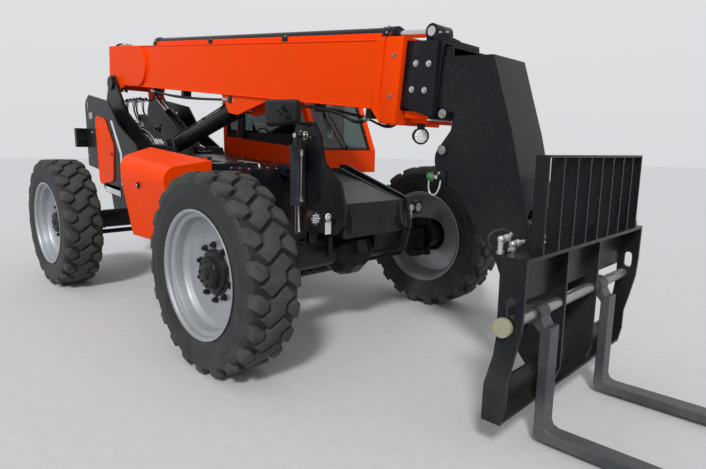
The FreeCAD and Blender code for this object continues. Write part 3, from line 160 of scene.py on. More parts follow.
fork_paint = finish("fork_paint", (0.046, 0.051, 0.058), (0.062, 0.067, 0.073), 0.38,
                    metal=0.2, dust=0.25)
dress(fork_paint, "fork_right", "fork_left")

zinc_plate = finish("zinc_plate", (0.36, 0.38, 0.34), (0.28, 0.30, 0.27), 0.28, metal=0.85,
                    dust=0.2)
dress(zinc_plate, "fork_bar")

chrome = finish("chrome", (0.62, 0.62, 0.62), (0.55, 0.55, 0.55), 0.12, metal=1.0, dust=0.0)
dress(chrome, "lift_rod", "level_rod", "tilt_rod", "extension_rod")

black_plastic = finish("black_plastic", (0.009, 0.009, 0.010), (0.015, 0.015, 0.015), 0.42,
                       shine=0.22, dust=0.12, bump=0.2)
dress(black_plastic, "lamps")

# Cab glazing: flat safety glass with a grey-green tint, bonded into black rubber. The fixed panes ride
# on the frame, and the door's own pane on the door.


def glass(name, colour):
    material = bpy.data.materials.new(name)
    material.use_nodes = True
    shader = material.node_tree.nodes["Principled BSDF"]
    shader.inputs["Base Color"].default_value = (*colour, 1)
    shader.inputs["Roughness"].default_value = 0.03
    shader.inputs["IOR"].default_value = 1.45
    shader.inputs["Transmission Weight"].default_value = 1.0
    return material


cab_glass = glass("cab_glass", (0.25, 0.31, 0.30))
dress(cab_glass, "cab_windows", "door_window")

# Tyres: cross-ply rubber with chunky blocks, a row of long Z-shaped blocks down the middle and a row
# of shoulder lugs down each side, moulded in one piece with the sidewalls. Each replaces the plainer
# CAD tyre in the same place, and the block tops are paler with dust.

WHEEL_R = 0.640
TYRE_HALF = 0.1725
RIM_R = 0.392
TRACK_HALF = 1.135
AXLE_X = {"front": 0.520, "rear": -2.480}
FROM_AXLE = Matrix.Translation((AXLE_X["front"], 0, 0))
PITCHES = 21
BLOCK_DEPTH = 0.034
CROWN = 0.02
PART_WAYS = (-0.10, -0.06, -0.02, 0.02, 0.06, 0.10)
SHOULDER = (0.140, 0.152, 0.162)


def mesh_of(name, shape):
    """Turns a bmesh into a mesh, with its normals outward."""
    bmesh.ops.recalc_face_normals(shape, faces=shape.faces)
    mesh = bpy.data.meshes.new(name)
    shape.to_mesh(mesh)
    shape.free()
    return mesh


def mounted(name, data, body, material):
    """Puts a mesh or curve in the scene, riding on a body, in the slot that goes with its finish."""
    data.materials.append(material)
    piece = bpy.data.objects.new(name, data)
    scene.collection.objects.link(piece)
    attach(piece, body)
    return piece


def finished(name, shape, body, material, angle=30, stand=FROM_AXLE):
    """Turns a bmesh into a piece, smooth except at its sharp edges."""
    if stand is not None:
        bmesh.ops.transform(shape, matrix=stand, verts=shape.verts)
    mesh = mesh_of(name, shape)
    mesh.shade_smooth()
    mesh.set_sharp_from_angle(angle=math.radians(angle))
    return mounted(name, mesh, body, material)


def merged(shape):
    bmesh.ops.remove_doubles(shape, verts=shape.verts, dist=1e-5)


def turned(shape, profile, steps=72):
    """Sweeps an open or closed (radius, y) line about the Y axis."""
    ring = [shape.verts.new((radius, across, 0)) for radius, across in profile]
    edges = [shape.edges.new(pair) for pair in zip(ring, ring[1:])]
    bmesh.ops.spin(shape, geom=ring + edges, cent=(0, 0, 0), axis=(0, 1, 0), angle=2 * math.pi, steps=steps,
                   use_merge=True)
    merged(shape)


def drawn_out(shape, outline, move):
    """Draws a flat outline out into a solid and gives back the corners that moved."""
    face = shape.faces.new([shape.verts.new(spot) for spot in outline])
    made = bmesh.ops.extrude_face_region(shape, geom=[face])["geom"]
    far = [v for v in made if isinstance(v, bmesh.types.BMVert)]
    bmesh.ops.translate(shape, verts=far, vec=move)
    return far


def whole(shape):
    return shape.verts[:] + shape.edges[:] + shape.faces[:]


def tread_block(corners):
    """One rubber block, drawn flat as (along, across) in metres, then bent round the tyre."""
    block = bmesh.new()
    top = drawn_out(block, [(along, across, 0) for along, across in corners], (0, 0, BLOCK_DEPTH))
    centre = sum((v.co for v in top), Vector()) / len(top)
    for v in top:
        v.co.x += (centre.x - v.co.x) * 0.05
        v.co.y += (centre.y - v.co.y) * 0.05
    rims = [e for e in block.edges if all(v in top for v in e.verts)]
    bmesh.ops.bevel(block, geom=rims, offset=0.0035, segments=2, profile=0.5, affect="EDGES", material=-1)
    cuts = [((along, 0, 0), (1, 0, 0)) for along in PART_WAYS]
    cuts += [((0, side * across, 0), (0, 1, 0)) for side in (-1, 1) for across in SHOULDER]
    for spot, facing in cuts:
        bmesh.ops.bisect_plane(block, geom=whole(block), plane_co=spot, plane_no=facing)
    for v in block.verts:
        turn = v.co.x / WHEEL_R
        over = max(0.0, abs(v.co.y) - SHOULDER[0])
        edge = max(0.0, abs(v.co.y) - SHOULDER[2])
        radius = WHEEL_R - BLOCK_DEPTH + v.co.z - over * over * 24 - edge * 1.4 - abs(v.co.y) * CROWN
        v.co = Vector((radius * math.cos(turn), v.co.y, radius * math.sin(turn)))
    for face in block.faces:
        face.material_index = 1
    return block


def tyre_mesh():
    tyre = bmesh.new()
    half = [(RIM_R, 0.138), (0.400, 0.147), (0.412, 0.153), (0.420, 0.158), (0.424, 0.157), (0.430, 0.160),
            (0.470, 0.1705), (0.500, 0.1722), (0.503, 0.1730), (0.509, 0.1730), (0.512, 0.1722),
            (0.546, 0.1715), (0.560, 0.1735), (0.572, 0.1735), (0.577, 0.1705), (0.590, 0.163),
            (0.601, 0.148), (0.606, 0.100), (0.607, 0.050)]
    profile = [(r, -y) for r, y in half] + [(r, y) for r, y in reversed(half)]
    turned(tyre, profile + profile[:1], 126)
    middle = [(-0.1215, -0.054), (-0.060, -0.115), (-0.013, -0.052), (0.046, -0.050)]
    middle += [(-along, -across) for along, across in middle]
    lug = [(-0.099, 0.126), (-0.048, 0.070), (0.003, 0.069), (0.026, 0.120), (-0.012, 0.164),
           (-0.016, 0.1715), (-0.101, 0.1715)]
    turned_lug = [(-along, -across) for along, across in lug]
    for corners in (middle, lug, turned_lug):
        block = tread_block(corners)
        bmesh.ops.spin(block, geom=whole(block), cent=(0, 0, 0), axis=(0, 1, 0),
                       angle=2 * math.pi * (PITCHES - 1) / PITCHES, steps=PITCHES - 1, use_duplicate=True)
        row = mesh_of("tread_row", block)
        tyre.from_mesh(row)
        bpy.data.meshes.remove(row)
    return tyre


def wheel_place(shape, end, side):
    """Moves a shape drawn about the origin, +Y outboard, to one of the four wheels."""
    if side == "right":
        bmesh.ops.rotate(shape, cent=(0, 0, 0), matrix=Matrix.Rotation(math.pi, 3, "Z"), verts=shape.verts)
    out = -1 if side == "right" else 1
    bmesh.ops.translate(shape, verts=shape.verts, vec=(AXLE_X[end], out * TRACK_HALF, WHEEL_R))


WHEELS = [(end, side) for end in ("front", "rear") for side in ("right", "left")]

for end, side in WHEELS:
    shape = tyre_mesh()
    wheel_place(shape, end, side)
    tyre = finished(f"tread_{end}_{side}", shape, f"wheel_{end}_{side}", tyre_rubber, stand=None)
    tyre.data.materials.append(tread_rubber)
    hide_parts(f"tyre_{end}_{side}")

# Wheels: a deep rim rolled from steel plate and painted silver, with its disc held by ten black
# studs and nuts round a black planetary hub. The hub's end cover has its own ring of small screws.

STUD_RING = 0.178
STUD_START = 0.3
HUB_PROFILE = [(0.0, 0.104), (0.028, 0.104), (0.034, 0.100), (0.036, 0.092), (0.090, 0.090), (0.100, 0.084),
               (0.104, 0.074), (0.106, 0.052), (0.128, 0.048), (0.136, 0.042), (0.138, 0.032), (0.152, 0.030),
               (0.152, 0.021)]
RIM_PROFILE = [(0.412, 0.158), (0.413, 0.163), (0.409, 0.166), (0.400, 0.164), (0.392, 0.158), (0.388, 0.146),
               (0.386, 0.128), (0.376, 0.120), (0.364, 0.116), (0.360, 0.108), (0.357, 0.066), (0.352, 0.052),
               (0.342, 0.044), (0.330, 0.030), (0.322, 0.024), (0.148, 0.022), (0.148, 0.006), (0.340, 0.002),
               (0.356, -0.050), (0.372, -0.110), (0.376, -0.140), (0.392, -0.158), (0.409, -0.166),
               (0.413, -0.163), (0.412, -0.158), (0.3925, -0.138), (0.3925, 0.138), (0.412, 0.158)]


def hex_head(shape, centre, axis, size, height, washer=True):
    """A hexagon bolt head on a washer, standing on a face at centre."""
    turn = Vector(axis).to_track_quat("Z", "Y").to_matrix().to_4x4()
    stand = Matrix.Translation(centre) @ turn
    bmesh.ops.create_cone(shape, cap_ends=True, segments=6, radius1=size, radius2=size * 0.94,
                          depth=height, matrix=stand @ Matrix.Translation((0, 0, height / 2)))
    if washer:
        bmesh.ops.create_cone(shape, cap_ends=True, segments=12, radius1=size * 1.25, radius2=size * 1.2,
                              depth=height * 0.25, matrix=stand @ Matrix.Translation((0, 0, height * 0.12)))


def bolt_ring(shape, radius, across, count, size, height, start=0.0):
    for i in range(count):
        turn = start + 2 * math.pi * i / count
        hex_head(shape, (radius * math.cos(turn), across, radius * math.sin(turn)), (0, 1, 0), size, height)


steel_bolt = finish("steel_bolt", (0.34, 0.34, 0.34), (0.24, 0.23, 0.22), 0.32, metal=0.9,
                    dust=0.2, edge=0.001)

for end, side in WHEELS:
    body = f"wheel_{end}_{side}"
    dish = bmesh.new()
    turned(dish, RIM_PROFILE, 96)
    wheel_place(dish, end, side)
    rim = finished(f"dish_{end}_{side}", dish, body, silver_paint, 40, None)
    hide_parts(f"rim_{end}_{side}")
    hub = bmesh.new()
    turned(hub, HUB_PROFILE, 64)
    bolt_ring(hub, 0.080, 0.090, 8, 0.008, 0.007)
    bolt_ring(hub, STUD_RING, 0.022, 10, 0.019, 0.024, STUD_START)
    for i in range(10):
        turn = STUD_START + math.pi * i / 5
        spot = Vector((STUD_RING * math.cos(turn), 0.040, STUD_RING * math.sin(turn)))
        bmesh.ops.create_cone(hub, cap_ends=True, segments=12, radius1=0.011, radius2=0.010, depth=0.030,
                              matrix=Matrix.Translation(spot) @ Matrix.Rotation(math.radians(-90), 4, "X"))
    wheel_place(hub, end, side)
    finished(f"hub_{end}_{side}", hub, body, black_paint, 40, None)

# Boom, outer section: one welded box of orange plate with a round boss at the pivot end and a flared
# collar at its mouth. Weld beads run round the boss and down the collar; set screws hold the wear
# pads, and a folded channel on top carries the extension cylinder.

PIVOT = (-3.240, 0.0, 2.165)
ALONG_BOOM = Matrix.Translation(PIVOT) @ Matrix.Rotation(math.radians(6.3), 4, "Y")
OUTER_LOW = -0.009
OUTER_HIGH = 0.431
OUTER_HALF = 0.215
COLLAR_BACK = 4.253
COLLAR_FRONT = 4.475


def bar(shape, start, end, radius, segments=24, tip=None):
    """A round bar, cone or nut between two points."""
    start, end = Vector(start), Vector(end)
    along = end - start
    stand = Matrix.Translation((start + end) / 2) @ along.to_track_quat("Z", "Y").to_matrix().to_4x4()
    last = radius if tip is None else tip
    made = bmesh.ops.create_cone(shape, cap_ends=True, segments=segments, radius1=radius, radius2=last,
                                 depth=along.length, matrix=stand)
    return made["verts"]


def block(shape, low, high):
    """A flat-sided block between two corners."""
    low, high = Vector(low), Vector(high)
    size = Matrix.Diagonal((*(high - low), 1))
    bmesh.ops.create_cube(shape, size=1, matrix=Matrix.Translation((low + high) / 2) @ size)


def slab(shape, corners, near, far):
    """A flat plate that stands fore and aft: its outline as (x, z), and its two sides."""
    drawn_out(shape, [(x, near, z) for x, z in corners], (0, far - near, 0))


def eased(shape, offset=0.003, segments=2, angle=40):
    """Rounds the sharp edges."""
    sharp = [e for e in shape.edges if len(e.link_faces) == 2 and e.calc_face_angle(0) > math.radians(angle)]
    bmesh.ops.bevel(shape, geom=sharp, offset=offset, segments=segments, profile=0.5, affect="EDGES",
                    material=-1, clamp_overlap=True)


def weld(shape, route, radius=0.006):
    """A laid weld bead along straight runs."""
    for start, end in zip(route, route[1:]):
        bar(shape, start, end, radius, 8)


channel = bmesh.new()
for side in (-1, 1):
    block(channel, (0.70, side * 0.058 - 0.004, OUTER_HIGH), (4.20, side * 0.058 + 0.004, 0.497))
    block(channel, (0.70, side * 0.078 - 0.016, OUTER_HIGH), (4.20, side * 0.078 + 0.016, OUTER_HIGH + 0.006))
eased(channel, 0.0015, 1)
finished("cylinder_channel", channel, "boom_outer", orange_paint, stand=ALONG_BOOM)

beads = bmesh.new()
for side in (-1, 1):
    y = side * (OUTER_HALF + 0.001)
    weld(beads, [(0.72, y, OUTER_HIGH - 0.004), (4.25, y, OUTER_HIGH - 0.004)], 0.005)
    weld(beads, [(0.72, y, OUTER_LOW + 0.004), (4.25, y, OUTER_LOW + 0.004)], 0.005)
    weld(beads, [(COLLAR_BACK - 0.002, y, OUTER_LOW), (COLLAR_BACK - 0.002, y, OUTER_HIGH)], 0.007)
    ring = [(0.620 + 0.213 * math.cos(a), side * (OUTER_HALF + 0.004), 0.2110 + 0.213 * math.sin(a))
            for a in (2 * math.pi * i / 40 for i in range(41))]
    weld(beads, ring, 0.005)
finished("boom_welds", beads, "boom_outer", orange_paint, 60, stand=ALONG_BOOM)

pad_screws = bmesh.new()
for side in (-1, 1):
    for height in (0.08, 0.33):
        spot = (COLLAR_FRONT - 0.060, side * (OUTER_HALF + 0.026), height)
        bar(pad_screws, spot, (spot[0], spot[1] + side * 0.006, spot[2]), 0.016, 20)
        hex_head(pad_screws, (spot[0], spot[1] + side * 0.006, spot[2]), (0, side, 0), 0.010, 0.010,
                 washer=False)
finished("collar_screws", pad_screws, "boom_outer", steel_bolt, stand=ALONG_BOOM)

strips = bmesh.new()
for side in (-1, 1):
    near = side * (OUTER_HALF + 0.026)
    slab(strips, [(COLLAR_BACK + 0.088, OUTER_LOW - 0.080), (COLLAR_FRONT - 0.002, OUTER_LOW - 0.080),
                  (COLLAR_FRONT - 0.002, OUTER_HIGH + 0.010), (COLLAR_BACK + 0.088, OUTER_HIGH + 0.010)],
         near, near + side * 0.005)
    slab(strips, [(COLLAR_BACK + 0.002, OUTER_LOW + 0.012), (COLLAR_BACK + 0.012, OUTER_LOW + 0.006),
                  (COLLAR_BACK + 0.012, OUTER_HIGH + 0.010), (COLLAR_BACK + 0.002, OUTER_HIGH + 0.010)],
         near, near + side * 0.004)
eased(strips, 0.0015)
finished("collar_strips", strips, "boom_outer", orange_paint, stand=ALONG_BOOM)

# Extension cylinder: a black steel barrel along the top of the boom, with a bolted clamp and a round
# gland at its mouth. Its bright rod runs forward to a roller bracket on the middle section, whose
# black drum has a polished end cap.

CYLINDER_W = 0.495
CLAMPS = (0.67, 1.85, 3.02, 4.13)


def hex_row(shape, spots, axis, size, height):
    for spot in spots:
        hex_head(shape, spot, axis, size, height)


barrel = bmesh.new()
bar(barrel, (0.72, 0, CYLINDER_W), (4.225, 0, CYLINDER_W), 0.046, 40)
bar(barrel, (0.655, 0, CYLINDER_W), (0.722, 0, CYLINDER_W), 0.054, 40)
for start, end, radius in ((4.10, 4.225, 0.053), (0.72, 0.76, 0.050), (4.222, 4.25, 0.040)):
    bar(barrel, (start, 0, CYLINDER_W), (end, 0, CYLINDER_W), radius, 40)
for start in CLAMPS:
    block(barrel, (start, -0.074, OUTER_HIGH), (start + 0.07, 0.074, CYLINDER_W - 0.012))
    for y in (-0.060, 0.060):
        block(barrel, (start + 0.005, y - 0.014, CYLINDER_W - 0.014), (start + 0.065, y + 0.014, CYLINDER_W))
eased(barrel, 0.002)
finished("extension_body", barrel, "boom_outer", black_paint, stand=ALONG_BOOM)

bolts = bmesh.new()
for start in CLAMPS:
    hex_row(bolts, [(start + 0.035, y, CYLINDER_W) for y in (-0.060, 0.060)], (0, 0, 1), 0.010, 0.012)
bar(bolts, (0.80, 0.03, CYLINDER_W + 0.030), (0.80, 0.05, CYLINDER_W + 0.050), 0.013, 6)
bar(bolts, (4.16, -0.03, CYLINDER_W + 0.030), (4.16, -0.046, CYLINDER_W + 0.046), 0.013, 6)
finished("extension_bolts", bolts, "boom_outer", steel_bolt, stand=ALONG_BOOM)

ROLLER_U = 4.558
MIDDLE_HIGH = 0.410
drum = bmesh.new()
bar(drum, (ROLLER_U, -0.080, CYLINDER_W), (ROLLER_U, 0.080, CYLINDER_W), 0.046, 48)
for side in (-1, 1):
    bar(drum, (ROLLER_U, side * 0.078, CYLINDER_W), (ROLLER_U, side * 0.085, CYLINDER_W), 0.0475, 48)
eased(drum, 0.003, 3)
finished("roller_drum", drum, "boom_middle", black_paint, stand=ALONG_BOOM)

bracket = bmesh.new()
for side in (-1, 1):
    slab(bracket, [(ROLLER_U - 0.045, MIDDLE_HIGH + 0.012), (ROLLER_U + 0.120, MIDDLE_HIGH + 0.012),
                   (ROLLER_U + 0.120, MIDDLE_HIGH + 0.045), (ROLLER_U + 0.050, CYLINDER_W - 0.015),
                   (ROLLER_U - 0.045, CYLINDER_W - 0.015)], side * 0.058, side * 0.070)
block(bracket, (ROLLER_U - 0.060, -0.095, MIDDLE_HIGH + 0.010),
      (ROLLER_U + 0.150, 0.095, MIDDLE_HIGH + 0.024))
block(bracket, (ROLLER_U + 0.070, -0.150, MIDDLE_HIGH + 0.010),
      (ROLLER_U + 0.172, -0.090, MIDDLE_HIGH + 0.060))
eased(bracket, 0.002)
finished("roller_bracket", bracket, "boom_middle", black_paint, stand=ALONG_BOOM)

bright_rod = bmesh.new()
bar(bright_rod, (1.05, 0, CYLINDER_W), (ROLLER_U - 0.02, 0, CYLINDER_W), 0.0258, 32)
rod_piece = finished("extension_shaft", bright_rod, "boom_middle", chrome, stand=ALONG_BOOM)
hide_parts("extension_rod")

polished = finish("polished_steel", (0.60, 0.61, 0.62), (0.50, 0.51, 0.52), 0.28, metal=0.85,
                  dust=0.1, edge=0.001)
cap = bmesh.new()
for side in (-1, 1):
    bar(cap, (ROLLER_U, side * 0.085, CYLINDER_W), (ROLLER_U, side * 0.0858, CYLINDER_W), 0.030, 36)
finished("roller_caps", cap, "boom_middle", polished, stand=ALONG_BOOM)
bolts = bmesh.new()
hex_row(bolts, [(ROLLER_U + u, -0.12, MIDDLE_HIGH + 0.060) for u in (0.095, 0.145)], (0, 0, 1), 0.011, 0.014)
finished("bracket_bolts", bolts, "boom_middle", steel_bolt, stand=ALONG_BOOM)

# Boom, middle section: its front is cased in thick bolted plates that hold the wear pads, four bright
# screws a side. The pad carrier under it is orange.

MIDDLE_HALF = 0.194
plates = bmesh.new()
for side in (-1, 1):
    near = side * (MIDDLE_HALF + 0.016)
    slab(plates, [(4.540, 0.417), (4.716, 0.414), (4.738, -0.026), (4.600, 0.000), (4.487, 0.030)],
         near, near + side * 0.006)
block(plates, (4.700, -0.19, 0.421), (4.745, 0.19, 0.435))
eased(plates, 0.002)
finished("wear_pad_plates", plates, "boom_middle", black_paint, stand=ALONG_BOOM)

screws = bmesh.new()
for side in (-1, 1):
    y = side * (MIDDLE_HALF + 0.022)
    for u, w in ((4.570, 0.285), (4.668, 0.285), (4.560, 0.130), (4.658, 0.130)):
        bar(screws, (u, y, w), (u, y + side * 0.004, w), 0.019, 24)
        hex_head(screws, (u, y + side * 0.004, w), (0, side, 0), 0.013, 0.011, washer=False)
finished("wear_pad_screws", screws, "boom_middle", polished, stand=ALONG_BOOM)

carrier = bmesh.new()
block(carrier, (4.500, -0.185, -0.045), (4.690, 0.185, 0.000))
block(carrier, (4.520, -0.150, -0.070), (4.660, 0.150, -0.045))
eased(carrier, 0.003)
finished("pad_carrier", carrier, "boom_middle", orange_paint, stand=ALONG_BOOM)

# Hydraulic lines: four plated steel pipes at the valve block, and hoses of black rubber over steel
# braid with bright ends crimped on. Bundles run from the valve block down into the frame and up to a
# bulkhead by the boom's pivot, and more run along under the boom.

hose_rubber = finish("hose_rubber", (0.012, 0.012, 0.013), (0.028, 0.028, 0.028), 0.42,
                     shine=0.3, dust=0.25, patch=9.0, grain=420.0, bump=0.2, edge=0.001)
bright_zinc = finish("bright_zinc", (0.66, 0.66, 0.62), (0.48, 0.48, 0.44), 0.24, metal=0.8,
                     dust=0.12, edge=0.001)


def hose(name, routes, radius, body, material=hose_rubber, stand=FROM_AXLE):
    """Round lines that curve smoothly along their routes."""
    line = bpy.data.curves.new(name, "CURVE")
    line.dimensions = "3D"
    line.bevel_depth = radius
    line.bevel_resolution = 4
    line.resolution_u = 10
    line.use_fill_caps = True
    for route in routes:
        spline = line.splines.new("NURBS")
        spline.points.add(len(route) - 1)
        for point, spot in zip(spline.points, route):
            point.co = (*(stand @ Vector(spot)), 1)
        spline.order_u = 3
        spline.use_endpoint_u = True
    mounted(name, line, body, material)


def crimp(shape, tip, inward, radius):
    """A crimped sleeve and its swivel nut at a hose's end."""
    tip = Vector(tip)
    along = (Vector(inward) - tip).normalized()
    bar(shape, tip, tip + along * radius * 4.5, radius * 1.45, 16)
    bar(shape, tip - along * radius * 2.4, tip - along * radius * 0.2, radius * 1.9, 6)
    bar(shape, tip - along * radius * 3.6, tip - along * radius * 2.2, radius * 1.1, 12)


def plumbed(name, routes, radius, body, stand=FROM_AXLE):
    """Hoses with a crimped end at both ends of each."""
    hose(name, routes, radius, body, stand=stand)
    ends = bmesh.new()
    for route in routes:
        crimp(ends, route[0], route[1], radius)
        crimp(ends, route[-1], route[-2], radius)
    finished(name + "_ends", ends, body, bright_zinc, 40, stand=stand)


PIPES = [
    [(-3.30, -0.215, 1.720), (-3.22, -0.232, 1.640), (-2.96, -0.240, 1.600), (-2.76, -0.238, 1.505),
     (-2.64, -0.235, 1.30)],
    [(-3.40, -0.205, 1.620), (-3.25, -0.230, 1.560), (-3.00, -0.240, 1.565), (-2.80, -0.236, 1.480),
     (-2.69, -0.230, 1.30)],
    [(-3.24, -0.200, 1.680), (-3.16, -0.222, 1.600), (-3.02, -0.228, 1.520), (-2.86, -0.226, 1.460),
     (-2.75, -0.226, 1.30)],
    [(-3.36, -0.200, 1.540), (-3.20, -0.226, 1.500), (-3.05, -0.236, 1.480), (-2.93, -0.234, 1.420),
     (-2.86, -0.230, 1.28)]]
hose("valve_pipes", PIPES, 0.0075, "chassis", bright_zinc)
plumbed("loop_hoses", [[(-2.70, -0.225, 1.34), (-2.74, -0.222, 1.52), (-2.66, -0.222, 1.66),
                        (-2.50, -0.222, 1.665), (-2.36, -0.222, 1.52), (-2.32, -0.225, 1.32)],
                       [(-2.98, -0.222, 1.40), (-3.04, -0.222, 1.60), (-2.98, -0.222, 1.72),
                        (-2.86, -0.222, 1.68), (-2.82, -0.225, 1.50), (-2.84, -0.225, 1.34)]], 0.010,
        "chassis")

VALVE_TOP = 1.640
plumbed("valve_hoses", [[(-3.30 + 0.055 * i, -0.17, VALVE_TOP + 0.03), (-3.29 + 0.055 * i, -0.19, 1.74),
                         (-3.10 + 0.04 * i, -0.228, 1.79), (-2.86 + 0.02 * i, -0.232, 1.62),
                         (-2.72 + 0.045 * i, -0.232, 1.46)] for i in range(4)], 0.011, "chassis")
plumbed("front_run_hoses", [
    [(-3.30 + 0.05 * i, -0.10, VALVE_TOP + 0.03), (-3.28 + 0.05 * i, -0.16, 1.78 - 0.02 * i),
     (-3.04 + 0.05 * i, -0.235, 1.74), (-2.90 + 0.05 * i, -0.235, 1.45), (-2.84 + 0.06 * i, -0.235, 1.20)]
    for i in range(3)], 0.010, "chassis")
plumbed("cross_hoses", [[(-2.93 + 0.06 * i, -0.235, 1.30 + 0.02 * i), (-2.90 + 0.06 * i, -0.225, 1.50),
                         (-2.78 + 0.06 * i, -0.225, 1.62 - 0.02 * i), (-2.62 + 0.05 * i, -0.225, 1.50),
                         (-2.50 + 0.05 * i, -0.225, 1.22)] for i in range(3)], 0.011, "chassis")

bank = bmesh.new()
for i in range(6):
    x = -3.33 + 0.032 * i
    block(bank, (x, -0.20, VALVE_TOP), (x + 0.026, 0.01, VALVE_TOP + 0.022))
    bar(bank, (x + 0.013, -0.21, 1.585), (x + 0.013, -0.235, 1.585), 0.012, 12)
    bar(bank, (x + 0.013, -0.21, 1.540), (x + 0.013, -0.228, 1.540), 0.010, 6)
eased(bank, 0.0015, 1)
finished("valve_spools", bank, "chassis", bright_zinc)

bulkhead = bmesh.new()
block(bulkhead, (-3.62, -0.250, 1.94), (-3.12, -0.060, 1.952))
for x in (-3.55, -3.46, -3.37, -3.28, -3.19):
    bar(bulkhead, (x, -0.19, 1.952), (x, -0.19, 1.975), 0.017, 6)
    bar(bulkhead, (x, -0.12, 1.952), (x, -0.12, 1.975), 0.017, 6)
eased(bulkhead, 0.0015, 1)
finished("hose_bulkhead", bulkhead, "chassis", black_paint)
plumbed("pivot_hoses", [
    [(x, y, 1.925), (x - 0.01, y, 1.84), (x + 0.08, y - 0.01, 1.76), (x + 0.14, y - 0.02, 1.70)]
    for x, y in ((-3.55, -0.19), (-3.46, -0.12), (-3.37, -0.19), (-3.28, -0.12))], 0.010, "chassis")

plumbed("tail_loop", [[(0.10, -0.15, 0.455), (-0.05, -0.17, 0.475), (-0.14, -0.19, 0.38),
                       (-0.165, -0.19, 0.20), (-0.11, -0.19, 0.02), (0.00, -0.17, -0.06)],
                      [(0.10, -0.10, 0.455), (-0.06, -0.12, 0.465), (-0.15, -0.13, 0.36),
                       (-0.160, -0.14, 0.18), (-0.10, -0.14, 0.02), (0.01, -0.12, -0.06)]], 0.012,
        "boom_outer", ALONG_BOOM)

UNDER_BOOM = -0.050
plumbed("boom_run_hoses", [
    [(2.55, y, UNDER_BOOM), (3.00, y, UNDER_BOOM + 0.006), (3.445, y, -0.030 - 0.005 * i),
     (3.654, y, -0.037 - 0.010 * i), (3.866, y, -0.050 - 0.012 * i), (3.965, y, -0.080 - 0.012 * i),
     (4.054, y, -0.105 - 0.010 * i), (4.143, y, -0.092 - 0.008 * i), (4.185, y, -0.060)]
    for i, y in enumerate((-0.19, -0.165, 0.12, 0.16))], 0.009, "boom_outer", ALONG_BOOM)
plumbed("level_hoses", [[(0.95, y, UNDER_BOOM + 0.01), (1.15, y, UNDER_BOOM - 0.01 - 0.008 * i),
                         (1.60, y, UNDER_BOOM - 0.02 - 0.01 * i), (2.10, y, UNDER_BOOM - 0.015),
                         (2.42, y, UNDER_BOOM)] for i, y in enumerate((-0.20, -0.17))], 0.010, "boom_outer",
        ALONG_BOOM)
clips = bmesh.new()
for u in (0.94, 1.60, 2.47, 3.30, 4.18):
    block(clips, (u, -0.212, -0.075), (u + 0.05, -0.125, OUTER_LOW))
    if u > 2:
        block(clips, (u, 0.100, -0.075), (u + 0.05, 0.180, OUTER_LOW))
eased(clips, 0.002, 1)
finished("hose_clips", clips, "boom_outer", black_paint, stand=ALONG_BOOM)

# Lift, levelling and tilt cylinders: honed steel barrels under black paint, each with a thicker
# gland, a wiper ring, welded oil ports with bright elbows and a hard line along the barrel.

LIFT_PINS = ((-2.950, 1.320), (-1.250, 1.800), -0.094, 0.084, 1.640)
LEVEL_PINS = ((-2.350, 1.330), (-3.420, 2.030), 0.110, 0.048, 0.900)
TILT_PINS = ((1.035, 1.425), (1.660, 0.870), 0.0, 0.052, 0.690)


def cylinder_trim(name, pins, body):
    """Gland, rings, ports and pipe on one barrel, laid out along its own pin-to-pin line."""
    base, eye, y, radius, length = pins
    along = Vector((eye[0] - base[0], 0, eye[1] - base[1]))
    turn = along.to_track_quat("X", "Z").to_matrix().to_4x4()
    stand = FROM_AXLE @ Matrix.Translation((base[0], y, base[1])) @ turn
    steel = bmesh.new()
    bar(steel, (length - 0.085, 0, 0), (length, 0, 0), radius + 0.0005, 48)
    bar(steel, (length - 0.160, 0, 0), (length - 0.140, 0, 0), radius * 0.99, 48)
    bar(steel, (radius * 1.6, 0, 0), (radius * 1.6 + 0.02, 0, 0), radius * 0.97, 48)
    bar(steel, (radius * 1.2, 0, 0), (length - 0.09, 0, 0), radius * 0.945, 40)
    for x in (radius * 1.9, length - 0.115):
        bar(steel, (x, -radius * 0.4, radius * 0.80), (x, -radius * 0.55, radius * 1.18), 0.016, 6)
    for x in (length * 0.34, length * 0.66):
        block(steel, (x, -0.034, radius * 0.86), (x + 0.02, 0.010, radius * 1.16))
    eased(steel, 0.0015, 1)
    finished(name + "_shell", steel, body, black_paint, stand=stand)
    pipe = [(length - 0.115, -radius * 0.55, radius * 1.12), (length - 0.14, -0.012, radius * 1.16),
            (length - 0.20, -0.012, radius * 1.12), (radius * 2.6, -0.012, radius * 1.12),
            (radius * 2.2, -0.012, radius * 1.14), (radius * 1.9, -radius * 0.5, radius * 1.12)]
    hose(name + "_pipe", [pipe], 0.007, body, black_paint, stand)
    ends = bmesh.new()
    crimp(ends, pipe[0], pipe[1], 0.007)
    crimp(ends, pipe[-1], pipe[-2], 0.007)
    for step in range(6):
        turn = math.pi * (step + 0.5) / 3
        spot = (length - 0.0005, math.cos(turn) * radius * 0.80, math.sin(turn) * radius * 0.80)
        bar(ends, spot, (length + 0.004, spot[1], spot[2]), radius * 0.09, 6)
    finished(name + "_ports", ends, body, bright_zinc, 40, stand=stand)


cylinder_trim("lift", LIFT_PINS, "lift_barrel")
cylinder_trim("level", LEVEL_PINS, "level_barrel")
cylinder_trim("tilt", TILT_PINS, "tilt_barrel")

# Tail boxes and their doors: folded black plate each side of the boom's pivot, with a pressed orange
# door on hidden hinges. A white reflective tape runs down the front edge, and a lamp in a plate guard
# stands at the rear corner.

white_film = finish("white_film", (0.78, 0.79, 0.80), (0.66, 0.67, 0.68), 0.35, dust=0.15,
                    bump=0.02)


def cross_slab(shape, corners, near, far):
    """A flat plate that stands across the machine: its outline as (y, z), and its two faces in x."""
    drawn_out(shape, [(near, y, z) for y, z in corners], (far - near, 0, 0))


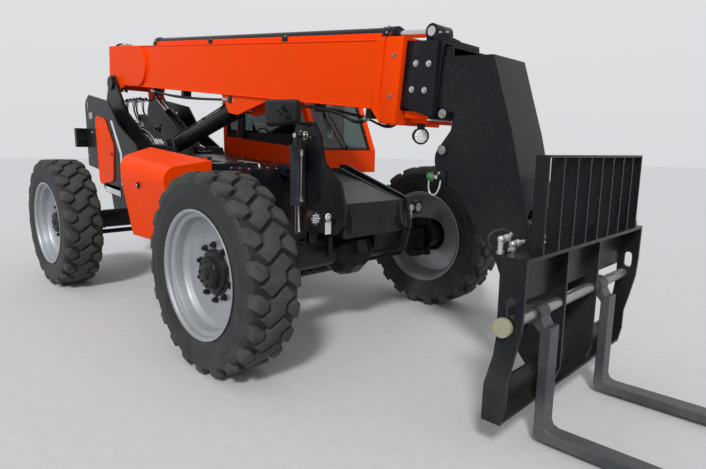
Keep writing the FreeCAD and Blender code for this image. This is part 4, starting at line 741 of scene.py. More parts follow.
def merged_copy(name):
    """A closed copy of a CAD node's mesh, with its flat faces whole again."""
    copy = bmesh.new()
    copy.from_mesh(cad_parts[name].data)
    merged(copy)
    bmesh.ops.dissolve_limit(copy, angle_limit=math.radians(1), verts=copy.verts, edges=copy.edges)
    return copy


doors = merged_copy("tail_doors")
panels = [f for f in doors.faces if abs(f.normal.y) > 0.99 and abs(f.calc_center_median().y) > 0.512]
bmesh.ops.inset_individual(doors, faces=panels, thickness=0.022, depth=0)
bmesh.ops.inset_individual(doors, faces=panels, thickness=0.010, depth=-0.006)
eased(doors, 0.003, 3, 30)
skins = finished("door_skins", doors, "chassis", orange_paint, stand=None)
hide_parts("tail_doors")

TAIL_SIDE = 0.500
tape = bmesh.new()
latches = bmesh.new()
plates = bmesh.new()
guards = bmesh.new()
for side in (-1, 1):
    near = side * TAIL_SIDE
    for corners in ([(-3.292, 1.700), (-3.240, 1.700), (-3.014, 1.338), (-3.066, 1.326)],
                    [(-3.066, 1.326), (-3.014, 1.338), (-3.020, 0.985), (-3.072, 0.985)],
                    [(-3.545, 0.892), (-3.110, 0.852), (-3.110, 0.914), (-3.545, 0.954)]):
        slab(tape, corners, near, near + side * 0.002)
    slab(guards, [(-3.550, 0.886), (-3.104, 0.845), (-3.104, 0.960), (-3.550, 0.990)], near - side * 0.010,
         near)
    out = near + side * 0.014
    bar(latches, (-3.263, out, 1.327), (-3.263, out + side * 0.004, 1.327), 0.020, 32)
    bar(latches, (-3.263, out + side * 0.004, 1.327), (-3.263, out + side * 0.008, 1.327), 0.013, 24)
    block(latches, (-3.276, near, 1.560), (-3.248, near + side * 0.012, 1.580))
    block(plates, (-3.955, near, 1.835), (-3.940, near + side * 0.006, 1.945))
    block(plates, (-3.920, near, 1.735), (-3.815, near + side * 0.008, 1.812))
    hex_head(plates, (-3.858, near, 1.577), (0, side, 0), 0.012, 0.010)
    hex_head(plates, (-3.990, near, 1.300), (0, side, 0), 0.012, 0.010)
    inner, outer = side * 0.488, side * 0.618
    for low, high in ((1.400, 1.408), (1.620, 1.628)):
        block(guards, (-4.118, min(inner, outer), low), (-4.050, max(inner, outer), high))
    block(guards, (-4.058, min(inner, outer), 1.400), (-4.050, max(inner, outer), 1.628))
    block(guards, (-4.118, outer - 0.003, 1.400), (-4.050, outer + 0.003, 1.628))
eased(tape, 0.0006, 1)
eased(latches, 0.001, 1)
eased(plates, 0.0015, 1)
eased(guards, 0.002, 1)
finished("edge_tape", tape, "chassis", white_film)
finished("door_latches", latches, "chassis", black_plastic)
finished("tail_plates", plates, "chassis", silver_paint)
finished("lamp_guards", guards, "chassis", black_paint)

# Engine hood: one pressed steel cover with a rounded shoulder and a return flange round its front
# opening. A key latch sits in its side, and hinges carry it at the inner edge.

HOOD_FACE = -0.790
flange = bmesh.new()
turns = [math.radians(15 * i) for i in range(7)]
shoulder, lip_in = [[(-0.99 - reach * math.sin(a), 1.170 + reach * math.cos(a)) for a in turns]
                    for reach in (0.104, 0.062)]
outer_line = [(-0.712, 1.311)] + shoulder + [(-0.990, 0.680)]
inner_line = [(-0.712, 1.269)] + lip_in + [(-0.948, 0.680)]
cross_slab(flange, outer_line + inner_line[::-1], HOOD_FACE - 0.010, HOOD_FACE - 0.004)
eased(flange, 0.001, 1)
finished("hood_flange", flange, "hood", orange_paint)

LATCH_X = -1.234
LATCH_Z = 1.117
latch = bmesh.new()
bar(latch, (LATCH_X, -1.099, LATCH_Z), (LATCH_X, -1.104, LATCH_Z), 0.026, 36)
bar(latch, (LATCH_X, -1.104, LATCH_Z), (LATCH_X, -1.109, LATCH_Z), 0.017, 6)
finished("hood_latch", latch, "hood", black_plastic)
lock = bmesh.new()
bar(lock, (LATCH_X, -1.1085, LATCH_Z), (LATCH_X, -1.111, LATCH_Z), 0.011, 24)
block(lock, (LATCH_X - 0.0015, -1.1125, LATCH_Z - 0.009), (LATCH_X + 0.0015, -1.110, LATCH_Z + 0.009))
finished("hood_lock", lock, "hood", bright_zinc)

# Tank and engine deck: welded black plate between the hood and the front tower, with a screwed
# cover and a pressed grille over the engine.

DECK_TOP = 1.262
HOOD_TOP = 1.296
screws = bmesh.new()
hex_row(screws, [(x, y, DECK_TOP) for x in (-0.72, -0.60, -0.48) for y in (-0.565, -0.305)], (0, 0, 1), 0.009,
        0.007)
hex_row(screws, [(x, -0.315, HOOD_TOP) for x in (-1.80, -1.50, -1.20, -0.90)], (0, 0, 1), 0.010, 0.008)
finished("deck_screws", screws, "chassis", steel_bolt)
panels = bmesh.new()
block(panels, (-0.765, -0.550, DECK_TOP), (-0.62, -0.42, DECK_TOP + 0.006))
for i in range(9):
    block(panels, (-1.74 + 0.07 * i, -0.60, HOOD_TOP), (-1.70 + 0.07 * i, -0.40, HOOD_TOP + 0.007))
eased(panels, 0.002, 1)
finished("deck_fittings", panels, "chassis", black_plastic)

# Front tower and frame levelling cylinder: a tall lug plate holds the cylinder's upper pin with a
# bolted keeper ring. The cylinder has a gland, a hard line down its side and a bright rod.

SWAY = (-0.076, -0.420)
# The levelling cylinder's barrel is black paint lifted to a blue-grey tint: a painted sky reflection along
# its sides, not a colour of its own.
black_with_painted_sky = finish("black_with_painted_sky", (0.022, 0.027, 0.034), (0.032, 0.037, 0.042), 0.30,
                    shine=0.25, dust=0.12)
TOWER_FACE = -0.354
ring = bmesh.new()
profile = [(0.020, 0.0), (0.031, 0.0), (0.031, 0.006), (0.020, 0.006)]
turned(ring, profile + profile[:1], 32)
bmesh.ops.scale(ring, vec=(1, -1, 1), verts=ring.verts)
bmesh.ops.translate(ring, verts=ring.verts, vec=(-0.068, TOWER_FACE - 0.001, 1.514))
finished("keeper_ring", ring, "chassis", bright_zinc)
bolts = bmesh.new()
hex_row(bolts, [(-0.016, TOWER_FACE, 1.502), (-0.120, TOWER_FACE, 1.545)], (0, -1, 0), 0.009, 0.008)
finished("tower_bolts", bolts, "chassis", steel_bolt)

sway = bmesh.new()
x, y = SWAY
bar(sway, (x, y, 1.010), (x, y, 1.445), 0.0570, 48)
bar(sway, (x, y, 1.010), (x, y, 1.062), 0.0610, 48)
bar(sway, (x, y, 1.415), (x, y, 1.447), 0.0600, 48)
for near in (-0.446, -0.401):
    slab(sway, [(x - 0.024, 1.440), (x + 0.022, 1.440), (x + 0.020, 1.520), (x + 0.010, 1.538),
                (x - 0.012, 1.538), (x - 0.024, 1.520)], near, near + 0.016)
eased(sway, 0.002, 1)
casing = finished("sway_barrel", sway, "chassis", black_with_painted_sky)
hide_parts("sway_cylinder")
rod_sleeve = bmesh.new()
bar(rod_sleeve, (x, y, 0.800), (x, y, 1.014), 0.0255, 32)
bar(rod_sleeve, (x, -0.452, 1.514), (x, TOWER_FACE - 0.001, 1.514), 0.017, 32)
finished("sway_rod", rod_sleeve, "chassis", chrome)
foot = bmesh.new()
bar(foot, (x, y - 0.028, 0.780), (x, y + 0.028, 0.780), 0.042, 40)
for near in (-0.464, -0.384):
    slab(foot, [(x - 0.045, 0.640), (x + 0.045, 0.640), (x + 0.032, 0.800), (x, 0.822), (x - 0.032, 0.800)],
         near, near + 0.020)
bar(foot, (x, -0.470, 0.780), (x, -0.358, 0.780), 0.018, 24)
eased(foot, 0.002, 1)
finished("sway_foot", foot, "chassis", black_paint)
line = [(x + 0.048, y - 0.020, 1.405), (x + 0.074, y - 0.026, 1.405), (x + 0.074, y - 0.026, 1.380),
        (x + 0.070, y - 0.026, 1.220), (x + 0.067, y - 0.026, 1.085), (x + 0.067, y - 0.026, 1.050),
        (x + 0.048, y - 0.022, 1.048)]
hose("sway_pipe", [line], 0.0065, "chassis", steel_bolt)
fittings = bmesh.new()
crimp(fittings, line[0], line[1], 0.007)
crimp(fittings, line[-1], line[-2], 0.007)
bar(fittings, (x + 0.074, y - 0.026, 1.398), (x + 0.074, y - 0.026, 1.372), 0.011, 6)
bar(fittings, (x + 0.067, y - 0.026, 1.085), (x + 0.067, y - 0.026, 1.060), 0.011, 6)
finished("sway_fittings", fittings, "chassis", bright_zinc, 40)

# Mirror: a moulded black shell on a ball joint and a bent tube arm that springs from the front tower,
# with a glass that faces the cab.

MIRROR_Y = -0.651
MIRROR_Z = 1.660
shell = bmesh.new()
block(shell, (-0.100, -0.700, 1.566), (0.215, -0.602, 1.750))
for v in shell.verts:
    if v.co.x > 0:
        v.co.z = MIRROR_Z + (v.co.z - MIRROR_Z) * 0.82
        v.co.y = MIRROR_Y + (v.co.y - MIRROR_Y) * 0.80
eased(shell, 0.030, 6)
case = finished("mirror_shell", shell, "chassis", black_plastic, 60)
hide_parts("mirror")
joint = bmesh.new()
block(joint, (0.060, -0.706, 1.640), (0.120, -0.688, 1.702))
eased(joint, 0.004, 2)
bmesh.ops.create_uvsphere(joint, u_segments=24, v_segments=16, radius=0.017,
                          matrix=Matrix.Translation((0.090, -0.712, 1.672)))
for x, z in ((0.070, 1.692), (0.112, 1.652)):
    hex_head(joint, (x, -0.706, z), (0, -1, 0), 0.006, 0.005)
bar(joint, (-0.045, -0.356, 1.596), (-0.045, -0.366, 1.596), 0.024, 24)
finished("mirror_joint", joint, "chassis", black_paint, 50)
hose("mirror_arm", [[(-0.045, -0.354, 1.596), (-0.045, -0.40, 1.596), (-0.020, -0.45, 1.596),
                     (0.080, -0.55, 1.598), (0.150, -0.62, 1.600), (0.170, -0.69, 1.605),
                     (0.165, -0.722, 1.635), (0.125, -0.724, 1.666), (0.090, -0.712, 1.672)]], 0.009,
     "chassis", black_paint)
glass_face = bmesh.new()
block(glass_face, (-0.103, -0.678, 1.600), (-0.098, -0.624, 1.720))
eased(glass_face, 0.012, 4, 60)
finished("mirror_glass", glass_face, "chassis", polished)

# Lamps: round cast cans on plate arms. The front pair has cellular clear lenses, with a small marker
# lamp and a bare white plate beside each, and the tail pair has red lenses.

clear_lens = finish("clear_lens", (0.94, 0.95, 0.96), (0.86, 0.87, 0.88), 0.10, dust=0.05,
                    grain=90.0, bump=0.5)
red_lens = finish("red_lens", (0.42, 0.010, 0.012), (0.32, 0.010, 0.012), 0.12, dust=0.1,
                  grain=90.0, bump=0.5)


def lens_cells(shape, centre, size, pitch):
    """Small raised cells over a round lens that faces forward."""
    made = []
    for row in range(-3, 4):
        for column in range(-3, 4):
            if row * row + column * column < 10:
                spot = (centre[0], centre[1] + column * pitch, centre[2] + row * pitch)
                made += bmesh.ops.create_uvsphere(shape, u_segments=8, v_segments=6, radius=size,
                                                  matrix=Matrix.Translation(spot))["verts"]
    return made


bezels = bmesh.new()
lenses = bmesh.new()
reds = bmesh.new()
boards = bmesh.new()
for side in (-1, 1):
    for x, face, z, target in ((0.280, 1, 0.960, lenses), (-4.120, -1, 1.500, reds)):
        y = side * 0.560
        if face > 0:
            bar(bezels, (x - 0.046, y, z), (x - 0.002, y, z), 0.0535, 40)
        facing = Matrix.Rotation(math.radians(90 * face), 4, "Y")
        bmesh.ops.create_cone(bezels, cap_ends=False, segments=40, radius1=0.053, radius2=0.049, depth=0.006,
                              matrix=Matrix.Translation((x - face * 0.002, y, z)) @ facing)
        bar(target, (x - face * 0.012, y, z), (x - face * 0.003, y, z), 0.050, 40, 0.046)
        if face > 0:
            lens_cells(target, (x - 0.004, y, z), 0.0062, 0.0115)
    marker = (0.292, side * 0.457, 0.964)
    block(bezels, (0.274, marker[1] - 0.030, 0.936), (0.288, marker[1] + 0.030, 0.992))
    bar(lenses, (0.287, marker[1], marker[2]), (0.294, marker[1], marker[2]), 0.026, 32, 0.022)
    for spot in range(6):
        a = math.pi * spot / 3
        bar(bezels, (0.292, marker[1] + 0.013 * math.cos(a), marker[2] + 0.013 * math.sin(a)),
            (0.2965, marker[1] + 0.013 * math.cos(a), marker[2] + 0.013 * math.sin(a)), 0.0042, 8)
    block(boards, (0.276, side * 0.446 - 0.027, 0.842), (0.280, side * 0.446 + 0.027, 0.936))
    bar(bezels, (0.225, side * 0.452, 0.960), (0.276, side * 0.452, 0.960), 0.012, 12)
eased(boards, 0.001, 1)
finished("lamp_bezels", bezels, "chassis", black_plastic, 40)
finished("clear_lenses", lenses, "chassis", clear_lens, 40)
finished("red_lenses", reds, "chassis", red_lens, 40)
finished("bare_plates", boards, "chassis", white_film)

# Boom tip: the middle section ends in a black plate with a bright wear strip under it, and a round
# work lamp hangs from the pad carrier. The gooseneck's two pins have plain turned heads, and a
# capped test coupling stands on a small bracket behind it.

nose = bmesh.new()
block(nose, (4.690, -0.185, -0.036), (4.702, 0.185, 0.004))
block(nose, (4.565, -0.125, -0.112), (4.600, -0.085, -0.068))
lamp_turn = Matrix.Translation((4.585, -0.105, -0.150)) @ Matrix.Rotation(math.radians(-38), 4, "Z")
can = bar(nose, (-0.040, 0, 0), (0.020, 0, 0), 0.047, 40, 0.054)
bmesh.ops.transform(nose, matrix=lamp_turn, verts=can)
eased(nose, 0.002, 1)
finished("tip_plates", nose, "boom_middle", black_paint, stand=ALONG_BOOM)
strip = bmesh.new()
block(strip, (4.685, -0.186, -0.047), (4.712, 0.186, -0.037))
lens = bar(strip, (0.016, 0, 0), (0.022, 0, 0), 0.044, 40, 0.042)
lens += lens_cells(strip, (0.023, 0, 0), 0.0060, 0.011)
bmesh.ops.transform(strip, matrix=lamp_turn, verts=lens)
finished("tip_strip", strip, "boom_middle", clear_lens, 40, stand=ALONG_BOOM)

NECK_SIDE = 0.194
heads = bmesh.new()
for side in (-1, 1):
    for x, z in ((1.008, 1.640), (1.015, 1.425)):
        bar(heads, (x, side * NECK_SIDE, z), (x, side * (NECK_SIDE + 0.004), z), 0.027, 32)
    for x, z in ((0.996, 1.645), (1.020, 1.635)):
        hex_head(heads, (x, side * (NECK_SIDE + 0.004), z), (0, side, 0), 0.007, 0.006)
    bar(heads, (1.015, side * (NECK_SIDE + 0.004), 1.425), (1.015, side * (NECK_SIDE + 0.008), 1.425),
        0.012, 20)
finished("neck_pin_heads", heads, "boom_fly", zinc_plate, 40)

cap_green = finish("cap_green", (0.030, 0.200, 0.060), (0.040, 0.180, 0.070), 0.45, dust=0.1)
foot = bmesh.new()
block(foot, (0.965, -0.200, 1.235), (1.050, -0.176, 1.300))
eased(foot, 0.003, 2)
finished("coupling_bracket", foot, "boom_fly", black_paint)
coupling = bmesh.new()
bar(coupling, (0.975, -0.212, 1.262), (0.945, -0.212, 1.262), 0.016, 20)
bar(coupling, (0.985, -0.212, 1.262), (1.000, -0.206, 1.262), 0.014, 6)
hex_head(coupling, (1.005, -0.200, 1.286), (0, -1, 0), 0.007, 0.006)
finished("test_coupling", coupling, "boom_fly", bright_zinc, 40)
cap = bmesh.new()
bar(cap, (0.968, -0.212, 1.262), (0.936, -0.212, 1.262), 0.028, 32, 0.024)
eased(cap, 0.004, 3)
finished("coupling_cap", cap, "boom_fly", cap_green, 50)
hose("coupling_ring", [[(0.950, -0.226, 1.240), (0.948, -0.226, 1.205), (0.955, -0.226, 1.165),
                        (0.985, -0.226, 1.148), (1.010, -0.220, 1.165), (1.018, -0.205, 1.205),
                        (1.016, -0.196, 1.240)]], 0.0055, "boom_fly", bright_zinc)

# Deck cover: folded sheet over the drive line between the rails, glossy black, screwed down along
# both edges, with a flat lifting handle. A small gusset plate closes the gap to the front tower.

cover = bmesh.new()
slab(cover, [(-2.150, 1.082), (-0.450, 1.082), (-0.450, 1.232), (-0.640, 1.248), (-2.150, 1.348)], -0.279,
     0.269)
eased(cover, 0.010, 3)
finished("deck_cover", cover, "chassis", black_paint)
gusset = bmesh.new()
slab(gusset, [(-0.640, 1.236), (-0.460, 1.294), (-0.356, 1.302), (-0.356, 1.236)], -0.300, -0.292)
eased(gusset, 0.002, 1)
finished("tower_gusset", gusset, "chassis", black_paint)
COVER_SLOPE = 0.0662
screws = bmesh.new()
for i in range(6):
    x = -2.06 + 0.27 * i
    for y in (-0.262, 0.252):
        hex_head(screws, (x, y, 1.248 - COVER_SLOPE * (x + 0.640)), (0, 0, 1), 0.009, 0.007)
finished("cover_screws", screws, "chassis", steel_bolt)
handle = bmesh.new()
slab(handle, [(-1.150, 1.278), (-1.130, 1.278), (-1.115, 1.304), (-0.835, 1.286), (-0.825, 1.256),
              (-0.800, 1.256), (-0.818, 1.293), (-1.128, 1.313)], -0.240, -0.228)
eased(handle, 0.002, 1)
finished("cover_handle", handle, "chassis", bright_zinc)

# Cab trim: each pane sits in a black rubber seal. Inside are a moulded lining below the glass and a
# post, a wiper lies on the windscreen, and the door has a lever handle.

seal_rubber = finish("seal_rubber", (0.010, 0.010, 0.011), (0.020, 0.020, 0.021), 0.60,
                     shine=0.2, dust=0.2, grain=260.0, bump=0.2)


def seals(name, node, body, width):
    """Rubber frames on both faces of every pane."""
    frames = merged_copy(node)
    faces = [f for f in frames.faces if f.calc_area() > 0.08]
    rims = bmesh.ops.inset_individual(frames, faces=faces, thickness=width, depth=0)["faces"]
    spare = [f for f in frames.faces if f not in set(rims)]
    bmesh.ops.delete(frames, geom=spare, context="FACES")
    raised = bmesh.ops.extrude_face_region(frames, geom=list(frames.faces), use_keep_orig=True)["geom"]
    lifted = [v for v in raised if isinstance(v, bmesh.types.BMVert)]
    frames.normal_update()
    for v in lifted:
        v.co += v.normal * 0.007
    finished(name, frames, body, seal_rubber, stand=None)


seals("pane_seals", "cab_windows", "chassis", 0.027)
seals("door_seal", "door_window", "door", 0.027)

CAB_MID = 0.8025
lining = bmesh.new()
slab(lining, [(-2.32, 1.40), (-0.88, 1.40), (-0.89, 1.470), (-2.32, 1.600)], 0.447, 0.462)
block(lining, (-2.352, 0.46, 1.30), (-2.325, 1.145, 1.62))
slab(lining, [(-1.02, 1.24), (-0.845, 1.24), (-0.845, 1.400), (-0.93, 1.440), (-1.02, 1.44)], 0.47, 1.135)
block(lining, (-2.30, 0.455, 1.236), (-1.00, 1.145, 1.246))
eased(lining, 0.006, 2)
finished("cab_lining", lining, "chassis", black_plastic)
post = bmesh.new()
slab(post, [(-1.52, 1.48), (-1.46, 1.475), (-1.46, 2.280), (-1.52, 2.280)], 0.430, 0.452)
eased(post, 0.004, 2)
finished("cab_post", post, "chassis", black_plastic)
wiper = bmesh.new()
bar(wiper, (-0.815, 0.80, 1.435), (-0.795, 0.80, 1.435), 0.018, 20)
bar(wiper, (-0.805, 0.80, 1.435), (-0.955, 0.66, 1.800), 0.006, 10)
bar(wiper, (-0.872, 0.645, 1.560), (-1.020, 0.645, 1.920), 0.005, 8)
finished("wiper", wiper, "chassis", black_plastic, 40)
handle = bmesh.new()
block(handle, (-1.44, 1.236, 1.395), (-1.385, 1.248, 1.455))
block(handle, (-1.56, 1.246, 1.432), (-1.395, 1.262, 1.450))
eased(handle, 0.004, 3)
finished("door_handle", handle, "door", black_plastic)

# Steps: two folded treads of black plate below the cab's door, with rows of raised grip buttons
# pressed up through them.

grips = bmesh.new()
for top in (0.640, 0.900):
    for column in range(9):
        for row in range(3):
            spot = (-1.86 + 0.0525 * column, 1.060 + 0.045 * row, top)
            bar(grips, spot, (spot[0], spot[1], spot[2] + 0.005), 0.010, 10, 0.007)
finished("tread_grips", grips, "chassis", black_paint)

# Seat: a padded cushion and back in black vinyl on a steel suspension base. The cushions are crowned,
# with sewn cross channels and piped edges.

seat_vinyl = finish("seat_vinyl", (0.020, 0.021, 0.023), (0.032, 0.033, 0.035), 0.46,
                    shine=0.35, dust=0.1, patch=6.0, grain=520.0, bump=0.35)


def cushion(name, low, high, face, channels):
    """A crowned pad with sewn channels across its face; face is the axis it is crowned along."""
    pad = bmesh.new()
    block(pad, low, high)
    bmesh.ops.bevel(pad, geom=pad.edges[:], offset=0.030, segments=4, profile=0.6, affect="EDGES",
                    material=-1)
    bmesh.ops.subdivide_edges(pad, edges=[e for e in pad.edges if e.calc_length() > 0.06], cuts=15,
                              use_grid_fill=True)
    low, high = Vector(low), Vector(high)
    middle = (low + high) / 2
    half = (high - low) / 2
    long_way = 0 if face == 2 else 2
    for v in pad.verts:
        if (v.co[face] - middle[face]) > half[face] * 0.4:
            along = (v.co[long_way] - middle[long_way]) / half[long_way]
            across = (v.co.y - middle.y) / half.y
            v.co[face] += 0.012 * (1 - along ** 2) * (1 - across ** 2) - 0.010
            for spot in channels:
                gap = abs(along - spot) * half[long_way]
                v.co[face] -= 0.008 * max(0.0, 1 - gap / 0.018)
            if abs(abs(across) - 0.68) * half.y < 0.016:
                v.co[face] -= 0.006
        across = (v.co.y - middle.y) / half.y
        v.co[long_way] -= (v.co[long_way] - middle[long_way]) * 0.05 * across ** 2
    piece = finished(name, pad, "chassis", seat_vinyl, 80)
    smooth = piece.modifiers.new("soft", "SUBSURF")
    smooth.levels = 1
    smooth.render_levels = 1
    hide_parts("seat")


cushion("seat_cushion", (-2.055, CAB_MID - 0.238, 1.572), (-1.585, CAB_MID + 0.238, 1.684), 2,
        (-0.45, 0.05, 0.5))
cushion("seat_back", (-2.125, CAB_MID - 0.228, 1.690), (-2.012, CAB_MID + 0.228, 2.230), 0,
        (-0.6, -0.25, 0.1, 0.45))
base = bmesh.new()
block(base, (-1.98, CAB_MID - 0.150, 1.246), (-1.68, CAB_MID + 0.150, 1.280))
for i in range(7):
    inset = 0.010 + 0.012 * (i % 2)
    block(base, (-1.98 + inset, CAB_MID - 0.150 + inset, 1.280 + 0.036 * i),
          (-1.68 - inset, CAB_MID + 0.150 - inset, 1.318 + 0.036 * i))
block(base, (-2.02, CAB_MID - 0.20, 1.535), (-1.62, CAB_MID + 0.20, 1.570))
for side in (-1, 1):
    block(base, (-2.05, CAB_MID + side * 0.235 - 0.012, 1.60), (-1.99, CAB_MID + side * 0.235 + 0.012, 1.80))
eased(base, 0.004, 2)
finished("seat_base", base, "chassis", black_plastic)

# Steering column and console: a moulded column with a dial pod, and a foam-rimmed wheel with three
# steel spokes and a turning knob.

column = bmesh.new()
slab(column, [(-1.060, 1.246), (-1.160, 1.246), (-1.290, 1.870), (-1.205, 1.870)], CAB_MID - 0.050,
     CAB_MID + 0.050)
slab(column, [(-1.060, 1.640), (-1.190, 1.600), (-1.262, 1.800), (-1.120, 1.842), (-1.070, 1.780)],
     CAB_MID - 0.130, CAB_MID + 0.130)
eased(column, 0.012, 3)
desk = finished("steering_column", column, "chassis", black_plastic, 50)
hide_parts("steering_console")
wheel = bmesh.new()
rim = [(0.154 + 0.0135 * math.cos(a), 0.0135 * math.sin(a)) for a in (math.pi * i / 6 for i in range(13))]
turned(wheel, rim, 56)
bar(wheel, (0, -0.012, 0), (0, 0.024, 0), 0.034, 32, 0.028)
for angle in (90, 210, 330):
    a = math.radians(angle)
    bar(wheel, (0.020 * math.cos(a), 0.006, 0.020 * math.sin(a)),
        (0.150 * math.cos(a), 0, 0.150 * math.sin(a)), 0.008, 12)
bar(wheel, (0.148, 0, 0.052), (0.148, 0.046, 0.052), 0.017, 20, 0.020)
tilt = Matrix.Rotation(math.radians(-14), 4, "Y") @ Matrix.Rotation(math.radians(90), 4, "X")
bmesh.ops.transform(wheel, matrix=Matrix.Translation((-1.262, CAB_MID, 1.912)) @ tilt, verts=wheel.verts)
bar(wheel, (-1.248, CAB_MID, 1.850), (-1.262, CAB_MID, 1.905), 0.022, 24)
finished("steering_wheel", wheel, "chassis", black_plastic, 50)

# Carriage: pale plastic caps close the ends of the fork bar. A dark forged ring round the bar forms
# the eye of each fork and slides with it.

BAR_X = 1.803
BAR_Z = 0.652
cap_beige = finish("cap_beige", (0.34, 0.32, 0.22), (0.27, 0.26, 0.19), 0.45, dust=0.2)
ends = bmesh.new()
for side in (-1, 1):
    bar(ends, (BAR_X, side * 0.7852, BAR_Z), (BAR_X, side * 0.8175, BAR_Z), 0.0440, 40)
eased(ends, 0.0015, 1)
finished("bar_caps", ends, "carriage", cap_beige, 40)
collar_grey = finish("collar_grey", (0.030, 0.033, 0.038), (0.045, 0.048, 0.052), 0.40,
                     metal=0.2, dust=0.2)
for name, near, far in (("fork_right", -0.5165, -0.4155), ("fork_left", 0.2695, 0.3705)):
    sleeve = bmesh.new()
    turned(sleeve, [(0.0306, near), (0.0485, near), (0.0485, far), (0.0306, far), (0.0306, near)], 40)
    bmesh.ops.translate(sleeve, verts=sleeve.verts, vec=(BAR_X, 0, BAR_Z))
    finished(name + "_eye", sleeve, name, collar_grey, 40)

# Forks: forged steel, each with a flat shank whose head is dressed down to a shoulder in front of its
# eye, so that the eye's ring stands clear on the bar.

HEAD_CUT = 0.600
for name in ("fork_right", "fork_left"):
    forged = merged_copy(name)
    low, high = min(v.co.y for v in forged.verts), max(v.co.y for v in forged.verts)
    bmesh.ops.bisect_plane(forged, geom=whole(forged), dist=1e-5,
                           plane_co=(0, 0, HEAD_CUT), plane_no=(0, 0, 1), clear_outer=True)
    bmesh.ops.holes_fill(forged, edges=[e for e in forged.edges if e.is_boundary])
    front = FROM_AXLE.translation.x
    slab(forged, [(front + x, z) for x, z in ((1.806, 0.610), (1.852, 0.560), (1.876, 0.590), (1.850, 0.640),
                                              (1.838, 0.660), (1.815, 0.640))], low + 0.002, high - 0.002)
    eased(forged, 0.003, 1, 35)
    arm = finished(name + "_arm", forged, name, fork_paint, 20, None)
    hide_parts(name)

# Carriage plumbing: two bright elbows on the upper left corner, with a short hose loop behind the
# plate and a line along the backrest. Bolted pads hold the far end, and a latch pin sits low down.

elbows = bmesh.new()
for x, y, top in ((1.738, -0.742, 1.035), (1.742, -0.640, 1.000)):
    bar(elbows, (x, y, 0.968), (x, y, top), 0.013, 16)
    bar(elbows, (x, y, 0.968), (x, y, 0.984), 0.018, 6)
    bmesh.ops.create_uvsphere(elbows, u_segments=20, v_segments=12, radius=0.016,
                              matrix=Matrix.Translation((x, y, top)))
    bar(elbows, (x, y, top), (x + 0.004, y + 0.050, top), 0.013, 16)
    bar(elbows, (x + 0.003, y + 0.030, top), (x + 0.004, y + 0.050, top), 0.018, 6)
finished("carriage_elbows", elbows, "carriage", bright_zinc, 40)
plumbed("carriage_loop", [
    [(1.742, -0.680, 1.035), (1.735, -0.640, 1.050), (1.705, -0.680, 1.072), (1.680, -0.740, 1.055),
     (1.678, -0.750, 1.010), (1.700, -0.745, 0.985), (1.735, -0.700, 0.982)],
    [(1.746, -0.585, 1.000), (1.755, -0.540, 1.004), (1.760, -0.440, 1.000), (1.762, -0.340, 0.990),
     (1.760, -0.270, 0.984)]], 0.0075, "carriage")
pads = bmesh.new()
block(pads, (1.725, -0.720, 0.966), (1.752, -0.688, 0.996))
block(pads, (1.742, -0.275, 0.966), (1.778, -0.235, 0.998))
slab(pads, [(1.790, 0.925), (1.860, 0.925), (1.850, 1.000), (1.800, 1.000)], 0.786, 0.794)
eased(pads, 0.002, 1)
finished("carriage_pads", pads, "carriage", black_paint)
ring = bmesh.new()
turned(ring, [(0.020, -0.5), (0.036, -0.5), (0.036, -0.485), (0.020, -0.485), (0.020, -0.5)], 32)
bmesh.ops.translate(ring, verts=ring.verts, vec=(1.735, -0.200, 0.300))
finished("latch_ring", ring, "carriage", black_paint, 40)
latch = bmesh.new()
bar(latch, (1.735, -0.700, 0.300), (1.735, -0.682, 0.300), 0.019, 24)
finished("latch_pin", latch, "carriage", cap_beige, 40)

# Cab border: the side glass has a black printed border along the sill, and a black strip covers the
# post between the two panes.

border = bmesh.new()
slab(border, [(-2.345, 1.530), (-1.020, 1.388), (-1.020, 1.556), (-2.345, 1.600)], 0.4190, 0.4222)
slab(border, [(-2.092, 1.535), (-1.978, 1.523), (-1.978, 2.285), (-2.092, 2.285)], 0.3955, 0.4004)
finished("cab_border", border, "chassis", seal_rubber)

# Studio: a pale floor and an even grey sky with one soft key lamp over the camera's left shoulder.
# The camera stands where the photograph was taken from, right of the forks and low.


def studio_floor():
    sheet = bmesh.new()
    bmesh.ops.create_grid(sheet, x_segments=1, y_segments=1, size=60)
    mesh = bpy.data.meshes.new("floor")
    sheet.to_mesh(mesh)
    sheet.free()
    floor = bpy.data.objects.new("floor", mesh)
    scene.collection.objects.link(floor)
    material = bpy.data.materials.new("pale_floor")
    material.use_nodes = True
    tree = material.node_tree
    shader = tree.nodes["Principled BSDF"]
    spot = place(tree, "TexCoord").outputs["Object"]
    noise = place(tree, "TexNoise", {"Vector": spot, "Scale": 14.0, "Detail": 8.0})
    tree.links.new(blended(tree, noise.outputs[0], (0.56, 0.57, 0.58, 1), (0.66, 0.67, 0.68, 1)),
                   shader.inputs["Base Color"])
    shader.inputs["Roughness"].default_value = 0.85
    mesh.materials.append(material)


studio_floor()

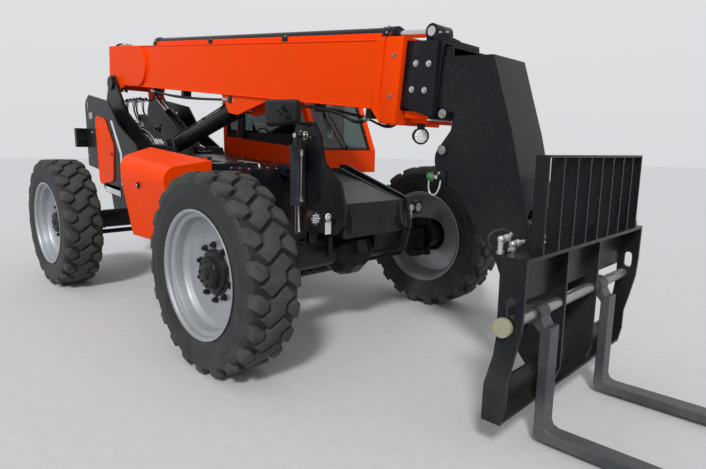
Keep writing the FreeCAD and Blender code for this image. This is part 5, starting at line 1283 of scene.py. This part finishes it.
world = bpy.data.worlds.new("studio")
scene.world = world
world.use_nodes = True
sky = world.node_tree
sky.nodes.clear()
path = place(sky, "LightPath")
seen = sum_of(sky, "MAXIMUM", path.outputs["Is Camera Ray"],
              sum_of(sky, "MAXIMUM", path.outputs["Is Glossy Ray"], path.outputs["Is Transmission Ray"]))
direction = place(sky, "SeparateXYZ", {0: place(sky, "TexCoord").outputs["Generated"]})
rise = place(sky, "MapRange", {"Value": direction.outputs[2], "From Min": -0.1, "From Max": 0.6})
backdrop = blended(sky, rise.outputs[0], (0.80, 0.82, 0.84, 1), (0.93, 0.94, 0.96, 1))
strength = place(sky, "MapRange", {"Value": seen, "To Min": 0.62, "To Max": 0.85})
light = place(sky, "Background", {"Color": backdrop, "Strength": strength.outputs[0]})
sky.links.new(light.outputs[0], sky.nodes.new("ShaderNodeOutputWorld").inputs[0])

key = bpy.data.lights.new("key", "SUN")
key.energy = 2.0
key.angle = math.radians(9)
key_lamp = bpy.data.objects.new("key", key)
key_lamp.rotation_euler = Vector((-0.45, 0.62, -0.70)).to_track_quat("-Z", "Y").to_euler()
scene.collection.objects.link(key_lamp)

CAMERA_SPOT = (3.398, -2.847, 1.425)
CAMERA_YAW = math.radians(134.5)
CAMERA_PITCH = -0.163
CAMERA_ROLL = 0.014
FOCAL_PX = 521.0
PHOTO_W = 706.0


def photo_camera():
    lens = bpy.data.cameras.new("photo")
    lens.sensor_width = 36.0
    lens.lens = FOCAL_PX / PHOTO_W * lens.sensor_width
    camera = bpy.data.objects.new("photo", lens)
    scene.collection.objects.link(camera)
    flat = math.cos(CAMERA_PITCH)
    ahead = Vector((flat * math.cos(CAMERA_YAW), flat * math.sin(CAMERA_YAW), math.sin(CAMERA_PITCH)))
    right = Vector((math.sin(CAMERA_YAW), -math.cos(CAMERA_YAW), 0))
    up = right.cross(ahead)
    level = Matrix((right, up, -ahead)).transposed()
    turn = Matrix.Rotation(CAMERA_ROLL, 3, "Z")
    camera.matrix_world = Matrix.Translation(CAMERA_SPOT) @ (level @ turn).to_4x4()
    scene.camera = camera


photo_camera()
scene.view_settings.view_transform = "Standard"
